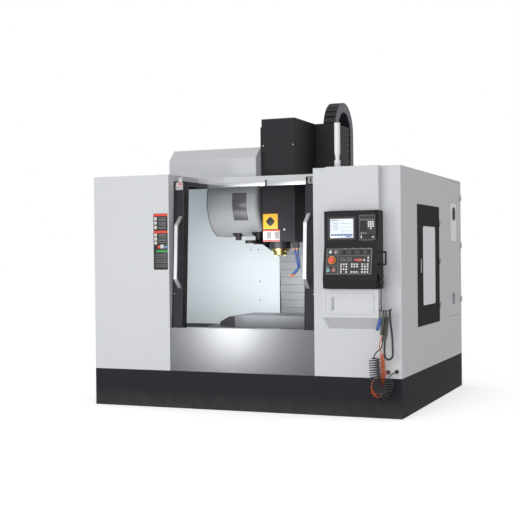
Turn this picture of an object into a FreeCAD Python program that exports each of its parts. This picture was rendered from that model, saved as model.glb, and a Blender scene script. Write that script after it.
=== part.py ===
import FreeCAD, Part
import math
import os

from FreeCAD import Vector

# Vertical machining centre: C-frame casting with a saddle and cross table, a vertical spindle head, a disc
# tool magazine with a changer arm, and a full sheet-metal enclosure on a dark base skirt.
# Millimetres. Origin: middle of the base on the floor. +X to the operator's right, +Y to the back, +Z up.

# ---- enclosure ------------------------------------------------------------------------------------------
ENC_WIDTH = 2912.0
ENC_DEPTH = 2406.0
ENC_HEIGHT = 2100.0
SKIRT_HEIGHT = 334.0
SKIRT_WALL = 4.0
SHEET = 2.0
HEM = 28.0                      # folded edge round a sheet panel
FIT_GAP = 0.3                   # clearance where one piece seats round another
PANEL_GAP = 3.0                 # joint between a door leaf and its frame
SEAT_LIP = 20.0                 # width of the lip that a side leaf closes on

DOORWAY_WIDTH = 1377.0
DOORWAY_CENTRE = 4.5
APRON_TOP = 722.0
APRON_THICK = 3.0
RAIL_TUBE = 30.0
ROOF_GAP = 5.0

BEAM_FRONT = -593.0
BEAM_DEPTH = 60.0
BEAM_HEIGHT = 92.0
BEAM_GROOVE_DROP = 56.0
BEAM_GROOVE = 4.0

# ---- sliding doors --------------------------------------------------------------------------------------
DOOR_WIDTH = 720.0
DOOR_SHOW = 106.0               # how far each open leaf stands into the doorway
DOOR_FOOT_Y = -1165.0           # outer face at the sill
DOOR_HEAD_Y = -1090.0           # outer face at the top: the leaf leans back
DOOR_TOP = 2040.0
DOOR_DEPTH = 90.0
DOOR_STILE = 105.0
DOOR_RAIL = 90.0
DOOR_ROOF_RAIL = 42.0
DOOR_ROOF_GAP = 7.0             # roof leaf to the cross beam
PANE_THICK = 8.0
PANE_LAP = 14.0
HANDLE_LOW = 1073.0
HANDLE_HIGH = 1728.0
HANDLE_REACH = 95.0
HANDLE_INSET = 32.0
HANDLE_WIDTH = 30.0
HANDLE_THICK = 14.0
HANDLE_BEND = 85.0

# ---- inner guards ---------------------------------------------------------------------------------------
GUARD_SIDE_X = 1340.0
GUARD_FRONT_Y = -970.0
GUARD_BACK_Y = 392.0
GUARD_FOOT = 700.0
GUARD_TOP = 1980.0
HOPPER_HALF_X = 1150.0
HOPPER_FRONT_Y = -1035.0
BACK_WALL_LOW = 1347.0
BACK_WALL_CUT_X = -441.0
BACK_WALL_CUT_Z = 1487.0

# ---- castings -------------------------------------------------------------------------------------------
BED_HALF_X = 420.0
BED_FRONT_Y = -780.0
BED_BACK_Y = 1000.0
BED_FOOT = 80.0
BED_TOP = 470.0
BED_WALL = 45.0
BED_PEDESTAL_TOP = 560.0
COLUMN_HALF_X = 260.0
COLUMN_FRONT_Y = 430.0
COLUMN_BACK_Y = 700.0
COLUMN_FOOT_BACK_Y = 940.0
COLUMN_FOOT_SPREAD = 90.0
COLUMN_TOP = 2340.0
COLUMN_WALL = 40.0
FOOT_RADIUS = 50.0
FOOT_SCREW_RADIUS = 14.0

# ---- axes -----------------------------------------------------------------------------------------------
RAIL_WIDTH = 45.0
RAIL_HEIGHT = 35.0
RAIL_CLEAR = 0.3
CARRIAGE_WIDTH = 100.0
CARRIAGE_LENGTH = 110.0
SCREW_RADIUS = 16.0
SCREW_FIT = 0.08
NUT_HALF = 36.0
MOTOR_SIDE = 130.0
MOTOR_LENGTH = 200.0
Y_RAIL_X = 300.0
Y_RAIL_FRONT = -760.0
Y_RAIL_BACK = 400.0
SADDLE_HALF_X = 870.0
SADDLE_FRONT_Y = -420.0
SADDLE_BACK_Y = 120.0
SADDLE_FOOT = 520.0
SADDLE_TOP = 620.0
SADDLE_CENTRE_Y = -150.0
X_RAIL_Y = 150.0                # each side of the saddle's centre line
TABLE_LENGTH = 1200.0
TABLE_WIDTH = 500.0
TABLE_CENTRE_X = 204.0
TABLE_TOP = 789.0
TABLE_THICK = 115.0
TABLE_SLOTS = 5
SLOT_PITCH = 90.0
SLOT_WIDTH = 18.0
SLOT_NECK = 20.0
SLOT_HEAD_WIDTH = 30.0
SLOT_HEAD_DEPTH = 14.0
TABLE_CARRIAGE_X = 250.0
END_GUARD_LENGTH = 154.0
END_GUARD_DROP = 52.0

# ---- spindle head ---------------------------------------------------------------------------------------
SPINDLE_Y = -190.0
HEAD_LEFT = -132.0
HEAD_RIGHT = 207.0
HEAD_FRONT_Y = -330.0
HEAD_BACK_Y = 250.0
HEAD_ROUND = 8.0
HEAD_FOOT = 1490.0
HEAD_TOP = HEAD_FOOT + 1170.0
COVER_SHEET = 3.0
HEAD_INSET = 12.0               # casting and motor foot inside the cover's sheet
HEAD_LIFT = 10.0                # casting's foot above the cover's foot
HEAD_CAST_FOOT = HEAD_FOOT + HEAD_LIFT
HEAD_CAST_TOP = HEAD_CAST_FOOT + 620.0
HEAD_SEAT = HEAD_CAST_FOOT + 400.0
HEAD_SEAT_BACK_Y = -70.0
HEAD_PLATE_FRONT = 330.0
NOSE_BLOCK_RADIUS = 103.0
NOSE_BLOCK_FOOT = HEAD_CAST_FOOT - 75.0
NOSE_RING_RADIUS = 88.0
NOSE_RING_FOOT = NOSE_BLOCK_FOOT - 23.0
NOSE_TIP_RADIUS = 64.0
NOSE_TIP = NOSE_RING_FOOT - 39.0
SLEEVE_LENGTH = 150.0           # bearing sleeve inside the head
SLEEVE_WALL = 25.0
HEAD_MOTOR_SIDE = 190.0
HEAD_MOTOR_LENGTH = 420.0
HEAD_MOTOR_FOOT = 20.0
FIN_COUNT = 5
FIN_PITCH = 35.0
FIN_DEPTH = 10.0
FIN_WIDTH = 16.0
FIN_INSET = 40.0
FAN_RADIUS = 80.0
FAN_HEIGHT = 60.0
TAPER_MOUTH_RADIUS = 34.9
TAPER_TOP_RADIUS = 20.0
TAPER_DEPTH = 102.0
ROTOR_RADIUS = 60.0
ROTOR_FIT = 0.08
Z_RAIL_X = 170.0
Z_RAIL_FOOT = 760.0
Z_RAIL_TOP = 2300.0
Z_COVER_HALF_X = 226.0
Z_COVER_FRONT_Y = 366.0
Z_COVER_LENGTH = 320.0
Z_COVER_STEP = 5.0
Z_COVER_FLANGE = 12.0

# ---- column cover and cable chain -----------------------------------------------------------------------
CCOVER_LEFT = -380.0
CCOVER_RIGHT = 410.0
CCOVER_FRONT_Y = 255.0
CCOVER_REAR_Y = 720.0
CHAIN_WIDTH = 127.0
CHAIN_THICK = 96.0
CHAIN_FRONT_Y = 340.0           # centre line of the front limb
CHAIN_RADIUS = 250.0
CHAIN_CENTRE_Z = HEAD_TOP - 58.0
CHAIN_ARC_LINKS = 14
CHAIN_FRONT_LINKS = 3
CHAIN_BACK_LINKS = 8
CHAIN_SWEEP = 18.0
CHAIN_PLATE = 14.0
CHAIN_STAY = 12.0
CHAIN_STAY_SHARE = 0.78

# ---- tool magazine --------------------------------------------------------------------------------------
DRUM_RADIUS = 345.0
DRUM_LEFT = -677.0
DRUM_RIGHT = -150.0
DRUM_Y = -65.0
DRUM_Z = 1880.0
DRUM_SHEET = 4.0
DRUM_ROUND = 45.0
DRUM_CUT_Z = 1552.0
WINDOW_LEFT = -410.0
WINDOW_RIGHT = -260.0
WINDOW_LOW = 1700.0
WINDOW_HIGH = 1960.0
DISC_RADIUS = 262.0
DISC_LEFT = -560.0
DISC_THICK = 26.0
POT_COUNT = 24
POT_RING = 272.0
POT_RADIUS = 30.0
POT_BORE = 19.0
POT_LENGTH = 92.0
AXLE_RADIUS = 32.0
HUB_RADIUS = 70.0
HUB_LENGTH = 90.0
ARM_X = -220.0
ARM_REACH = 220.0
ARM_LOW = 1477.0
ARM_THICK = 30.0
ARM_SHAFT_RADIUS = 38.0
ARM_NECK_RADIUS = 30.0
ARM_KEEPER = 8.0
GRIP_RADIUS = 52.0
GRIP_BORE = 32.0
HOOD_LEFT = -1057.0
HOOD_RIGHT = -142.0
HOOD_FRONT_Y = -450.0
HOOD_BACK_Y = 250.0
HOOD_FOLD_Z = 2292.0
HOOD_TOP = 2396.0
HOOD_SLOPE_RUN = 115.0

# ---- side door and cabinet ------------------------------------------------------------------------------
SIDE_DOOR_FRONT = -648.0
SIDE_DOOR_BACK = 192.0
SIDE_DOOR_LOW = 726.0
SIDE_DOOR_HIGH = 1798.0
SIDE_PANE_FRONT = -454.0
SIDE_PANE_BACK = 28.0
SIDE_PANE_LOW = 903.0
SIDE_PANE_HIGH = 1610.0
SIDE_PANE_ROUND = 28.0
SIDE_DOOR_THICK = 24.0
SIDE_DOOR_PROUD = 4.0
SIDE_GRIP = 120.0
SIDE_GRIP_PROUD = 8.0
CAB_FRONT_Y = 583.0
CAB_BACK_Y = 1150.0
CAB_LOW = 745.0
CAB_HIGH = 2078.0
CAB_DEPTH = 380.0
CAB_DOOR_THICK = 22.0
FILTER_FRONT = 711.0
FILTER_BACK = 946.0
FILTER_LOW = 1486.0
FILTER_HIGH = 1856.0
FILTER_PROUD = 6.0
FILTER_SLOTS = 6
LATCH_Y = 815.0
LATCH_Z = 955.0
LATCH_BOSS = 9.0
LATCH_LENGTH = 108.0
HINGE_PROUD = 13.0
HINGE_HEIGHT = 30.0
HINGE_PIN = 4.0
HINGE_RADIUS = 8.0

# ---- operator station -----------------------------------------------------------------------------------
STATION_LEFT = 832.0
STATION_RIGHT = 1290.0
STATION_FRONT = -1283.0
STATION_RISE = 6.0
PENDANT_LEFT = 844.0
PENDANT_RIGHT = 1304.0
PENDANT_FRONT = -1362.0
PENDANT_KNEE = 1455.0           # edge between the upright screen face and the leaning key face
PENDANT_FACE = 269.0            # height of the screen face
PENDANT_TOP = PENDANT_KNEE + PENDANT_FACE
PENDANT_LIP_Y = -1412.0
PENDANT_LEAN = 297.0            # height of the key face
PENDANT_LIP_TOP = PENDANT_KNEE - PENDANT_LEAN
PENDANT_FOOT = PENDANT_LIP_TOP - 73.0
PENDANT_ROUND = 26.0
SCREEN_X = 997.0
SCREEN_Z = PENDANT_KNEE + 126.0
BEZEL_WIDTH = 241.0
BEZEL_HEIGHT = 194.0
SCREEN_WIDTH = 203.0
SCREEN_HEIGHT = 160.0
BEZEL_THICK = 6.0
KEYPAD_LEFT = 1149.0
KEYPAD_RIGHT = 1282.0
KEYPAD_LOW = PENDANT_KNEE + 26.0
KEYPAD_HIGH = PENDANT_TOP - 36.0
PLATE_LEFT = 866.0
PLATE_RIGHT = 1264.0
PLATE_TOP_DROP = 38.0           # along the slope, below the knee
PLATE_HEIGHT = 222.0
PLATE_THICK = 4.0
KEY_SIDE = 14.0
KEY_RISE = 2.5
KEY_PITCH = 23.0
KEY_COLUMNS = (1000.0, 1092.0, 1181.0)
KEY_ROWS = tuple(PENDANT_KNEE - drop for drop in (171.0, 190.0, 212.0, 234.0))
PAD_ROWS = 11
PAD_COLS = 7
BUTTON_PLACES = ((904.0, PENDANT_KNEE - 70.0), (951.0, PENDANT_KNEE - 70.0), (889.0, PENDANT_KNEE - 220.0),
                 (937.0, PENDANT_KNEE - 219.0))
KNOB_X = (1018.0, 1094.0, 1164.0, 1226.0)
KNOB_Z = PENDANT_KNEE - 66.0
ESTOP_X = 917.0
ESTOP_Z = PENDANT_KNEE - 137.0
ESTOP_TRAVEL = 5.0
STEM_SHARE = 0.5
STEM_DEPTH = 8.0
ESTOP_RADIUS = 26.0
BUTTON_RADIUS = 11.0
BUTTON_RISE = 9.0
BUTTON_TRAVEL = 3.0
KNOB_RADIUS = 17.0
KNOB_RISE = 16.0
KNOB_SIDES = 12
GRIP_TUBE = 15.0
GRIP_LOW = PENDANT_KNEE - 180.0
GRIP_HIGH = GRIP_LOW + 116.0
GRIP_OUT = 72.0
GRIP_FORWARD = 76.0
BOX_LEFT = 826.0
BOX_RIGHT = 1304.0
BOX_FRONT = -1362.0
BOX_TOP = PENDANT_FOOT - 5.0
BOX_FOOT = BOX_TOP - 235.0
BOX_HEEL = BOX_FOOT - 104.0
BOX_LID_LEFT = 852.0
BOX_LID_RIGHT = 1263.0
BOX_LID_LOW = BOX_FOOT + 25.0
BOX_LID_HIGH = BOX_TOP - 33.0
BOX_SHELL = 2.5
BOX_LID_GAP = 1.5
LID_THICK = 14.0
BOX_KNUCKLE = 16.0
BOX_KNUCKLE_R = 5.0
BOX_PIN = 2.5
BOX_LATCH_X = 908.0
BOX_LATCH_Z = BOX_TOP - 124.0
BOX_LATCH_BOSS = 7.0
BOX_LATCH_LENGTH = 104.0
LAMP_X = 847.0
LAMP_Y = -1000.0
LAMP_RADIUS = 25.0
LAMP_RIM = 1.0
LAMP_BASE = 77.0
LAMP_NECK = 20.0
LAMP_NECK_SHARE = 0.68
LAMP_FLARE = 50.0
LAMP_LENS = 238.0
LAMP_CAP = 15.0

# ---- hanging tools and hoses ----------------------------------------------------------------------------
RACK_Z = BOX_FOOT + 55.0
RACK_Y = -1316.0
RACK_REACH = 92.0
RACK_WIDTH = 60.0
GLAND_X = 1317.0
GLAND_Y = -1320.0
SOCKET_RADIUS = 16.0
SOCKET_REACH = 14.0
SOCKET_PLACES = ((1338.0, 386.0), (1412.0, 392.0))
GUN_THICK = 26.0
AIR_GUN_Y = -1345.0
AIR_GUN = ((1314.0, 842.0), (1340.0, 856.0), (1348.0, 836.0), (1336.0, 764.0), (1328.0, 704.0),
           (1310.0, 704.0),
           (1318.0, 784.0))
AIR_GUN_HOOK = 1336.0
AIR_PIVOT = (1321.0, 840.0)
WASH_GUN_Y = -1311.0
WASH_GUN = ((1332.0, 846.0), (1364.0, 854.0), (1370.0, 830.0), (1358.0, 704.0), (1346.0, 652.0),
            (1312.0, 652.0),
            (1326.0, 720.0))
WASH_GUN_HOOK = 1350.0
CORD_BEND = 0.45
CORD_DIA = 9.0
CORD_ROUTE = ((GLAND_X, GLAND_Y, PENDANT_FOOT - 4.0), (GLAND_X, GLAND_Y, PENDANT_FOOT - 39.0),
              (1316.0, -1325.0, RACK_Z + 106.0), (1318.0, -1334.0, RACK_Z + 68.0), (1322.0, -1336.0,
                                                                                    RACK_Z + 36.0),
              (1322.0, -1336.0, RACK_Z + 5.0))
HOSE_DIA = 18.0
HOSE_ROUTE = ((1386.0, -1316.0, RACK_Z), (1386.0, -1316.0, RACK_Z - 38.0), (1391.0, -1312.0, RACK_Z - 100.0),
              (1398.0, -1307.0, 732.0), (1403.0, -1302.0, 665.0), (1403.0, -1300.0, 605.0), (1405.0, -1299.0,
                                                                                             560.0),
              (1402.0, -1298.0, 518.0), (1369.0, -1298.0, 497.0), (1336.0, -1298.0, 514.0),
              (1334.0, -1298.0, 552.0), (1333.0, -1298.0, 590.0), (1336.0, -1298.0, 622.0), (1336.0, -1298.0,
                                                                                             652.0))
LEAD_DIA = 10.0
BLACK_COIL = 76.0
BLACK_LEAD = ((1318.0, -1298.0, 652.0), (1318.0, -1298.0, 622.0), (1302.0, -1299.0, 586.0),
              (1268.0, -1300.0, 562.0),
              (1246.0, -1300.0, 530.0), (1246.0, -1300.0, 505.0))
BLACK_ROUTE = ((1246.0, -1300.0, 517.0), (1250.0, -1300.0, 400.0), (1264.0, -1300.0, 290.0),
               (1292.0, -1300.0, 215.0), (1326.0, -1300.0, 205.0), (1356.0, -1300.0, 260.0),
               (1364.0, -1300.0, 324.0))
BLACK_TAIL = ((1364.0, -1300.0, 316.0), (1366.0, -1298.0, 344.0), (1380.0, -1284.0, 374.0),
              (1404.0, -1266.0, 388.0), (1412.0, -1244.0, 392.0), (1412.0, -1217.0, 392.0))
ORANGE_COIL = 42.0
ORANGE_LEAD = ((1319.0, -1332.0, 704.0), (1319.0, -1332.0, 676.0), (1304.0, -1318.0, 646.0),
               (1288.0, -1286.0, 622.0), (1278.0, -1252.0, 596.0), (1286.0, -1234.0, 556.0), (1295.0,
                                                                                              -1231.0, 500.0))
ORANGE_ROUTE = ((1295.0, -1231.0, 512.0), (1298.0, -1231.0, 420.0), (1299.0, -1231.0, 320.0),
                (1291.0, -1231.0, 225.0), (1251.0, -1231.0, 180.0), (1211.0, -1231.0, 225.0))
ORANGE_TAIL = ((1214.0, -1231.0, 216.0), (1198.0, -1231.0, 258.0), (1210.0, -1236.0, 306.0),
               (1256.0, -1240.0, 346.0), (1308.0, -1242.0, 374.0), (1338.0, -1242.0, 386.0),
               (1338.0, -1217.0, 386.0))
SMALL_CLEAR = 0.3

# ---- derived places -------------------------------------------------------------------------------------
HALF_W = ENC_WIDTH / 2
FRONT = -ENC_DEPTH / 2
BACK = ENC_DEPTH / 2
DOORWAY_L = DOORWAY_CENTRE - DOORWAY_WIDTH / 2
DOORWAY_R = DOORWAY_CENTRE + DOORWAY_WIDTH / 2
ROOF_UNDER = ENC_HEIGHT - SHEET
BEAM_FOOT = ENC_HEIGHT - BEAM_HEIGHT
BEAM_BACK = BEAM_FRONT + BEAM_DEPTH
TABLE_FOOT = TABLE_TOP - TABLE_THICK
X_SCREW_Z = TABLE_FOOT - MOTOR_SIDE / 2 - 4
Y_SCREW_Z = (BED_TOP + SADDLE_FOOT) / 2
Z_SCREW_Y = COLUMN_FRONT_Y - RAIL_HEIGHT + 5


def box(x0, x1, y0, y1, z0, z1):
    """Block between two corners."""
    return Part.makeBox(x1 - x0, y1 - y0, z1 - z0, Vector(x0, y0, z0))


def cyl(radius, length, base, axis):
    """Round bar from a base point along an axis."""
    return Part.makeCylinder(radius, length, Vector(*base), Vector(*axis))


def prism(points, push):
    """Flat outline carried along a straight line."""
    corners = [Vector(*p) for p in points]
    face = Part.Face(Part.makePolygon(corners + corners[:1]))
    return face.extrude(Vector(*push))


def prism_x(profile, x0, x1):
    """Outline given as (y, z) pairs, carried along X."""
    return prism([(x0, y, z) for y, z in profile], (x1 - x0, 0, 0))


def prism_y(profile, y0, y1):
    """Outline given as (x, z) pairs, carried along Y."""
    return prism([(x, y0, z) for x, z in profile], (0, y1 - y0, 0))


def prism_z(profile, z0, z1):
    """Outline given as (x, y) pairs, carried along Z."""
    return prism([(x, y, z0) for x, y in profile], (0, 0, z1 - z0))


def fuse(shapes):
    """One solid from pieces that share faces or volume."""
    body = shapes[0]
    if len(shapes) > 1:
        body = body.fuse(shapes[1:])
    return body.removeSplitter()


def cut(body, tools):
    """Body less the tools."""
    return body.cut(tools).removeSplitter()


def group(shapes):
    """Separate solids kept in one file."""
    return Part.makeCompound(shapes)


def sliced(shape, cells):
    """The shape as separate solids, cut along the faces of its cells."""
    return [solid for cell in cells for solid in shape.common(cell).Solids]


def strips(area, ways):
    """Rectangles that fill an area round its ways; area, ways and rectangles are (a0, a1, b0, b1)."""
    a0, a1, b0, b1 = area
    marks = sorted({a0, a1} | {min(max(edge, a0), a1) for way in ways for edge in way[:2]})
    rows = []
    for left, right in zip(marks, marks[1:]):
        free = []
        start = b0
        for low, high in sorted(way[2:] for way in ways if way[0] < (left + right) / 2 < way[1]):
            if low > start:
                free.append((start, low))
            start = max(start, high)
        if start < b1:
            free.append((start, b1))
        rows.append((left, right, free))
    return [(left, right, low, high) for left, right, free in rows for low, high in free]


def sheets_x(x0, x1, area, ways=()):
    """Sheets square to X that fill an area of (y0, y1, z0, z1) round its openings."""
    return [box(x0, x1, *rect) for rect in strips(area, ways)]


def grown(area, by):
    """Rectangle moved out by one distance on all four sides."""
    return (area[0] - by, area[1] + by, area[2] - by, area[3] + by)


def export(name, shape):
    """Write one named piece, moved so that the origin is the middle of the machine's footprint."""
    shape.translated(ORIGIN_SHIFT).exportStep("parts/" + name + ".step")


def mirror_x(shape, x=0.0):
    """The same piece on the other side of a plane across X."""
    return shape.mirror(Vector(x, 0, 0), Vector(1, 0, 0))


def vertical_round(body, radius, pick):
    """Round the upright edges that pick(x, y) accepts."""
    edges = []
    for edge in body.Edges:
        ends = [v.Point for v in edge.Vertexes]
        if len(ends) == 2 and (ends[0] - ends[1]).Length > 20:
            upright = abs(ends[0].x - ends[1].x) < 0.01 and abs(ends[0].y - ends[1].y) < 0.01
            if upright and pick(ends[0].x, ends[0].y):
                edges.append(edge)
    return body.makeFillet(radius, edges)


# ---- base and castings ----------------------------------------------------------------------------------
def base_skirt():
    """Plinth round the machine, with a top plate that fits round the bed."""
    outer = box(-HALF_W, HALF_W, FRONT, BACK, 0, SKIRT_HEIGHT)
    inner = box(-HALF_W + SKIRT_WALL, HALF_W - SKIRT_WALL, FRONT + SKIRT_WALL, BACK - SKIRT_WALL,
                -1, SKIRT_HEIGHT - SKIRT_WALL)
    hole = box(-BED_HALF_X - FIT_GAP, BED_HALF_X + FIT_GAP, BED_FRONT_Y - FIT_GAP, BED_BACK_Y + FIT_GAP,
               SKIRT_HEIGHT - 2 * SKIRT_WALL, SKIRT_HEIGHT + 1)
    return cut(outer, [inner, hole])


def foot_places():
    """Middle of each levelling foot under the bed."""
    xs = BED_HALF_X - 1.5 * FOOT_RADIUS
    ys = [BED_FRONT_Y + 1.5 * FOOT_RADIUS, (BED_FRONT_Y + BED_BACK_Y) / 2, BED_BACK_Y - 1.5 * FOOT_RADIUS]
    return [(side * xs, y) for side in (-1, 1) for y in ys]


def levelling_feet():
    """Round pads, each with a jack screw that runs up into the bed."""
    feet = []
    for x, y in foot_places():
        pad = Part.makeCone(FOOT_RADIUS, FOOT_RADIUS * 0.6, BED_FOOT / 2, Vector(x, y, 0), Vector(0, 0, 1))
        screw = cyl(FOOT_SCREW_RADIUS, BED_FOOT / 2, (x, y, BED_FOOT / 2), (0, 0, 1))
        feet.append(fuse([pad, screw]))
    return group(feet)


def bed_casting():
    """Ribbed box bed with a raised seat for the column and a trough for the Y screw."""
    body = box(-BED_HALF_X, BED_HALF_X, BED_FRONT_Y, BED_BACK_Y, BED_FOOT, BED_TOP)
    seat = box(-BED_HALF_X, BED_HALF_X, COLUMN_FRONT_Y - 20, BED_BACK_Y, BED_TOP, BED_PEDESTAL_TOP)
    body = fuse([body, seat])
    cells = []
    for x0, x1 in ((-BED_HALF_X + BED_WALL, -BED_WALL / 2), (BED_WALL / 2, BED_HALF_X - BED_WALL)):
        pitch = (BED_BACK_Y - BED_FRONT_Y - BED_WALL) / 4
        for i in range(4):
            y0 = BED_FRONT_Y + BED_WALL + i * pitch
            inset = 2 * FOOT_RADIUS
            outline = [(x0, y0), (x1, y0), (x1, y0 + pitch - BED_WALL), (x0, y0 + pitch - BED_WALL)]
            cell = prism_z(outline, BED_FOOT - 1, BED_TOP - 3.5 * BED_WALL)
            pads = [box(x - inset, x + inset, y - inset, y + inset, 0, BED_FOOT + BED_WALL)
                    for x, y in foot_places()]
            cells.append(cell.cut(pads))
    trough = box(-NUT_HALF - 8, NUT_HALF + 8, BED_FRONT_Y + BED_WALL, COLUMN_FRONT_Y - 20,
                 Y_SCREW_Z - NUT_HALF - 8, BED_TOP + 1)
    body = cut(body, cells + [trough])
    reach = BED_HALF_X + BED_WALL
    ends = (BED_FRONT_Y - BED_WALL, BED_BACK_Y + BED_WALL)
    deck = BED_TOP - 3.5 * BED_WALL
    layers = [box(-reach, reach, *ends, deck, BED_PEDESTAL_TOP + BED_WALL)]
    edges = (-reach, -BED_HALF_X + BED_WALL, -BED_WALL / 2, BED_WALL / 2, BED_HALF_X - BED_WALL, reach)
    layers += [box(x0, x1, *ends, BED_FOOT - 1, deck) for x0, x1 in zip(edges, edges[1:])]
    return group(sliced(body, layers))


def column_casting():
    """Hollow upright that widens to its foot and to the back, with a channel for the Z screw."""
    spread = COLUMN_HALF_X + COLUMN_FOOT_SPREAD
    waist = BED_PEDESTAL_TOP + 420
    outline = [(-spread, BED_PEDESTAL_TOP), (spread, BED_PEDESTAL_TOP), (COLUMN_HALF_X, waist),
               (COLUMN_HALF_X, COLUMN_TOP), (-COLUMN_HALF_X, COLUMN_TOP), (-COLUMN_HALF_X, waist)]
    front_view = prism_y(outline, COLUMN_FRONT_Y, COLUMN_FOOT_BACK_Y)
    neck = ROOF_UNDER - 120
    side = [(COLUMN_FRONT_Y, BED_PEDESTAL_TOP), (COLUMN_FRONT_Y, COLUMN_TOP), (COLUMN_BACK_Y, COLUMN_TOP),
            (COLUMN_BACK_Y, neck), (COLUMN_FOOT_BACK_Y, waist), (COLUMN_FOOT_BACK_Y, BED_PEDESTAL_TOP)]
    body = front_view.common(prism_x(side, -spread, spread))
    w = COLUMN_WALL
    front = COLUMN_FRONT_Y + 2.2 * w
    core_side = [(front, BED_PEDESTAL_TOP + w), (front, COLUMN_TOP - w), (COLUMN_BACK_Y - w, COLUMN_TOP - w),
                 (COLUMN_BACK_Y - w, neck), (COLUMN_FOOT_BACK_Y - w, waist), (COLUMN_FOOT_BACK_Y - w,
                                                                              BED_PEDESTAL_TOP + w)]
    core = prism_x(core_side, -COLUMN_HALF_X + w, COLUMN_HALF_X - w)
    channel = box(-NUT_HALF - 10, NUT_HALF + 10, COLUMN_FRONT_Y - 1, COLUMN_FRONT_Y + 1.6 * w,
                  Z_RAIL_FOOT - 40, Z_RAIL_TOP + 20)
    hatch = box(-COLUMN_HALF_X + 2.5 * w, COLUMN_HALF_X - 2.5 * w, COLUMN_FOOT_BACK_Y - 1.5 * w,
                COLUMN_FOOT_BACK_Y + 1, BED_PEDESTAL_TOP + 120, waist - 60)
    return cut(body, [core, channel, hatch])


def rail_section(cx, z0, flip=1):
    """Waisted guide-rail section as (across, up) pairs."""
    half = RAIL_WIDTH / 2
    waist = half * 0.72
    h = RAIL_HEIGHT * flip
    return [(cx - half, z0), (cx + half, z0), (cx + half, z0 + 0.35 * h), (cx + waist, z0 + 0.5 * h),
            (cx + waist, z0 + 0.62 * h), (cx + half, z0 + 0.78 * h), (cx + half, z0 + h),
            (cx - half, z0 + h), (cx - half, z0 + 0.78 * h), (cx - waist, z0 + 0.62 * h),
            (cx - waist, z0 + 0.5 * h), (cx - half, z0 + 0.35 * h)]


def guide_rails():
    """Two Y rails on the bed and two Z rails on the column."""
    rails = []
    for side in (-1, 1):
        flat = [(x, z) for x, z in rail_section(side * Y_RAIL_X, BED_TOP)]
        rails.append(prism_y(flat, Y_RAIL_FRONT, Y_RAIL_BACK))
        upright = [(x, y) for x, y in rail_section(side * Z_RAIL_X, COLUMN_FRONT_Y, -1)]
        rails.append(prism_z(upright, Z_RAIL_FOOT, Z_RAIL_TOP))
    return group(rails)


def carriage(cx, cy, base, axis):
    """Runner block that saddles a rail; axis is the way the rail runs, base the carrier's face."""
    half_w = CARRIAGE_WIDTH / 2
    half_l = CARRIAGE_LENGTH / 2
    gap = RAIL_WIDTH / 2 + RAIL_CLEAR
    if axis == "y":
        block = box(cx - half_w, cx + half_w, cy - half_l, cy + half_l, BED_TOP + 12, base)
        slot = box(cx - gap, cx + gap, cy - half_l - 1, cy + half_l + 1, 0,
                   BED_TOP + RAIL_HEIGHT + RAIL_CLEAR)
    elif axis == "x":
        block = box(cx - half_l, cx + half_l, cy - half_w, cy + half_w, SADDLE_TOP + 12, base)
        slot = box(cx - half_l - 1, cx + half_l + 1, cy - gap, cy + gap, 0,
                   SADDLE_TOP + RAIL_HEIGHT + RAIL_CLEAR)
    else:
        block = box(cx - half_w, cx + half_w, base, COLUMN_FRONT_Y - 12, cy - half_l, cy + half_l)
        slot = box(cx - gap, cx + gap, COLUMN_FRONT_Y - RAIL_HEIGHT - RAIL_CLEAR, COLUMN_FRONT_Y + 50,
                   cy - half_l - 1, cy + half_l + 1)
    return block.cut(slot)


def servo_motor(at, axis):
    """Square flanged motor with a round rear cap; at is the middle of its mounting face."""
    x, y, z = at
    dx, dy, dz = axis
    half = MOTOR_SIDE / 2
    length = MOTOR_LENGTH
    lo = [c - half * (1 - abs(d)) + min(0, d * length) for c, d in zip((x, y, z), axis)]
    hi = [c + half * (1 - abs(d)) + max(0, d * length) for c, d in zip((x, y, z), axis)]
    case = box(lo[0], hi[0], lo[1], hi[1], lo[2], hi[2])
    case = case.makeChamfer(10, [e for e in case.Edges if abs(e.Length - length) < 0.01])
    cap = cyl(half * 0.6, 30, (x + dx * length, y + dy * length, z + dz * length), axis)
    return fuse([case, cap])


def axis_drives():
    """Y screw and motor on the bed, Z screw and motor on the column, with their bearing blocks."""
    pieces = []
    y_end = BED_FRONT_Y + BED_WALL
    y_block = box(-NUT_HALF - 8, NUT_HALF + 8, y_end, y_end + 60, Y_SCREW_Z - NUT_HALF - 8,
                  Y_SCREW_Z + SCREW_RADIUS + 6)
    y_screw = cyl(SCREW_RADIUS, COLUMN_FRONT_Y - 20 - y_end - 60, (0, y_end + 60, Y_SCREW_Z), (0, 1, 0))
    pieces.append(fuse([y_block, y_screw]))
    lift = Y_SCREW_Z - MOTOR_SIDE / 2
    plate = box(-MOTOR_SIDE / 2, MOTOR_SIDE / 2, BED_FRONT_Y - 12, BED_FRONT_Y, lift,
                Y_SCREW_Z + MOTOR_SIDE / 2)
    motor = servo_motor((0, BED_FRONT_Y - 12, Y_SCREW_Z), (0, -1, 0))
    pieces.append(fuse([plate, motor]))
    z_foot = Z_RAIL_FOOT - 40
    z_block = box(-NUT_HALF - 10, NUT_HALF + 10, Z_SCREW_Y - SCREW_RADIUS - 4,
                  COLUMN_FRONT_Y + 1.6 * COLUMN_WALL,
                  z_foot, z_foot + 50)
    z_screw = cyl(SCREW_RADIUS, COLUMN_TOP - z_foot - 50, (0, Z_SCREW_Y, z_foot + 50), (0, 0, 1))
    pieces.append(fuse([z_block, z_screw]))
    bracket = box(-MOTOR_SIDE / 2, MOTOR_SIDE / 2, Z_SCREW_Y - MOTOR_SIDE / 2,
                  Z_SCREW_Y + MOTOR_SIDE / 2 + 60,
                  COLUMN_TOP, COLUMN_TOP + 15)
    z_motor = servo_motor((0, Z_SCREW_Y, COLUMN_TOP + 15), (0, 0, 1))
    pieces.append(fuse([bracket, z_motor]))
    return group(pieces)


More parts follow.
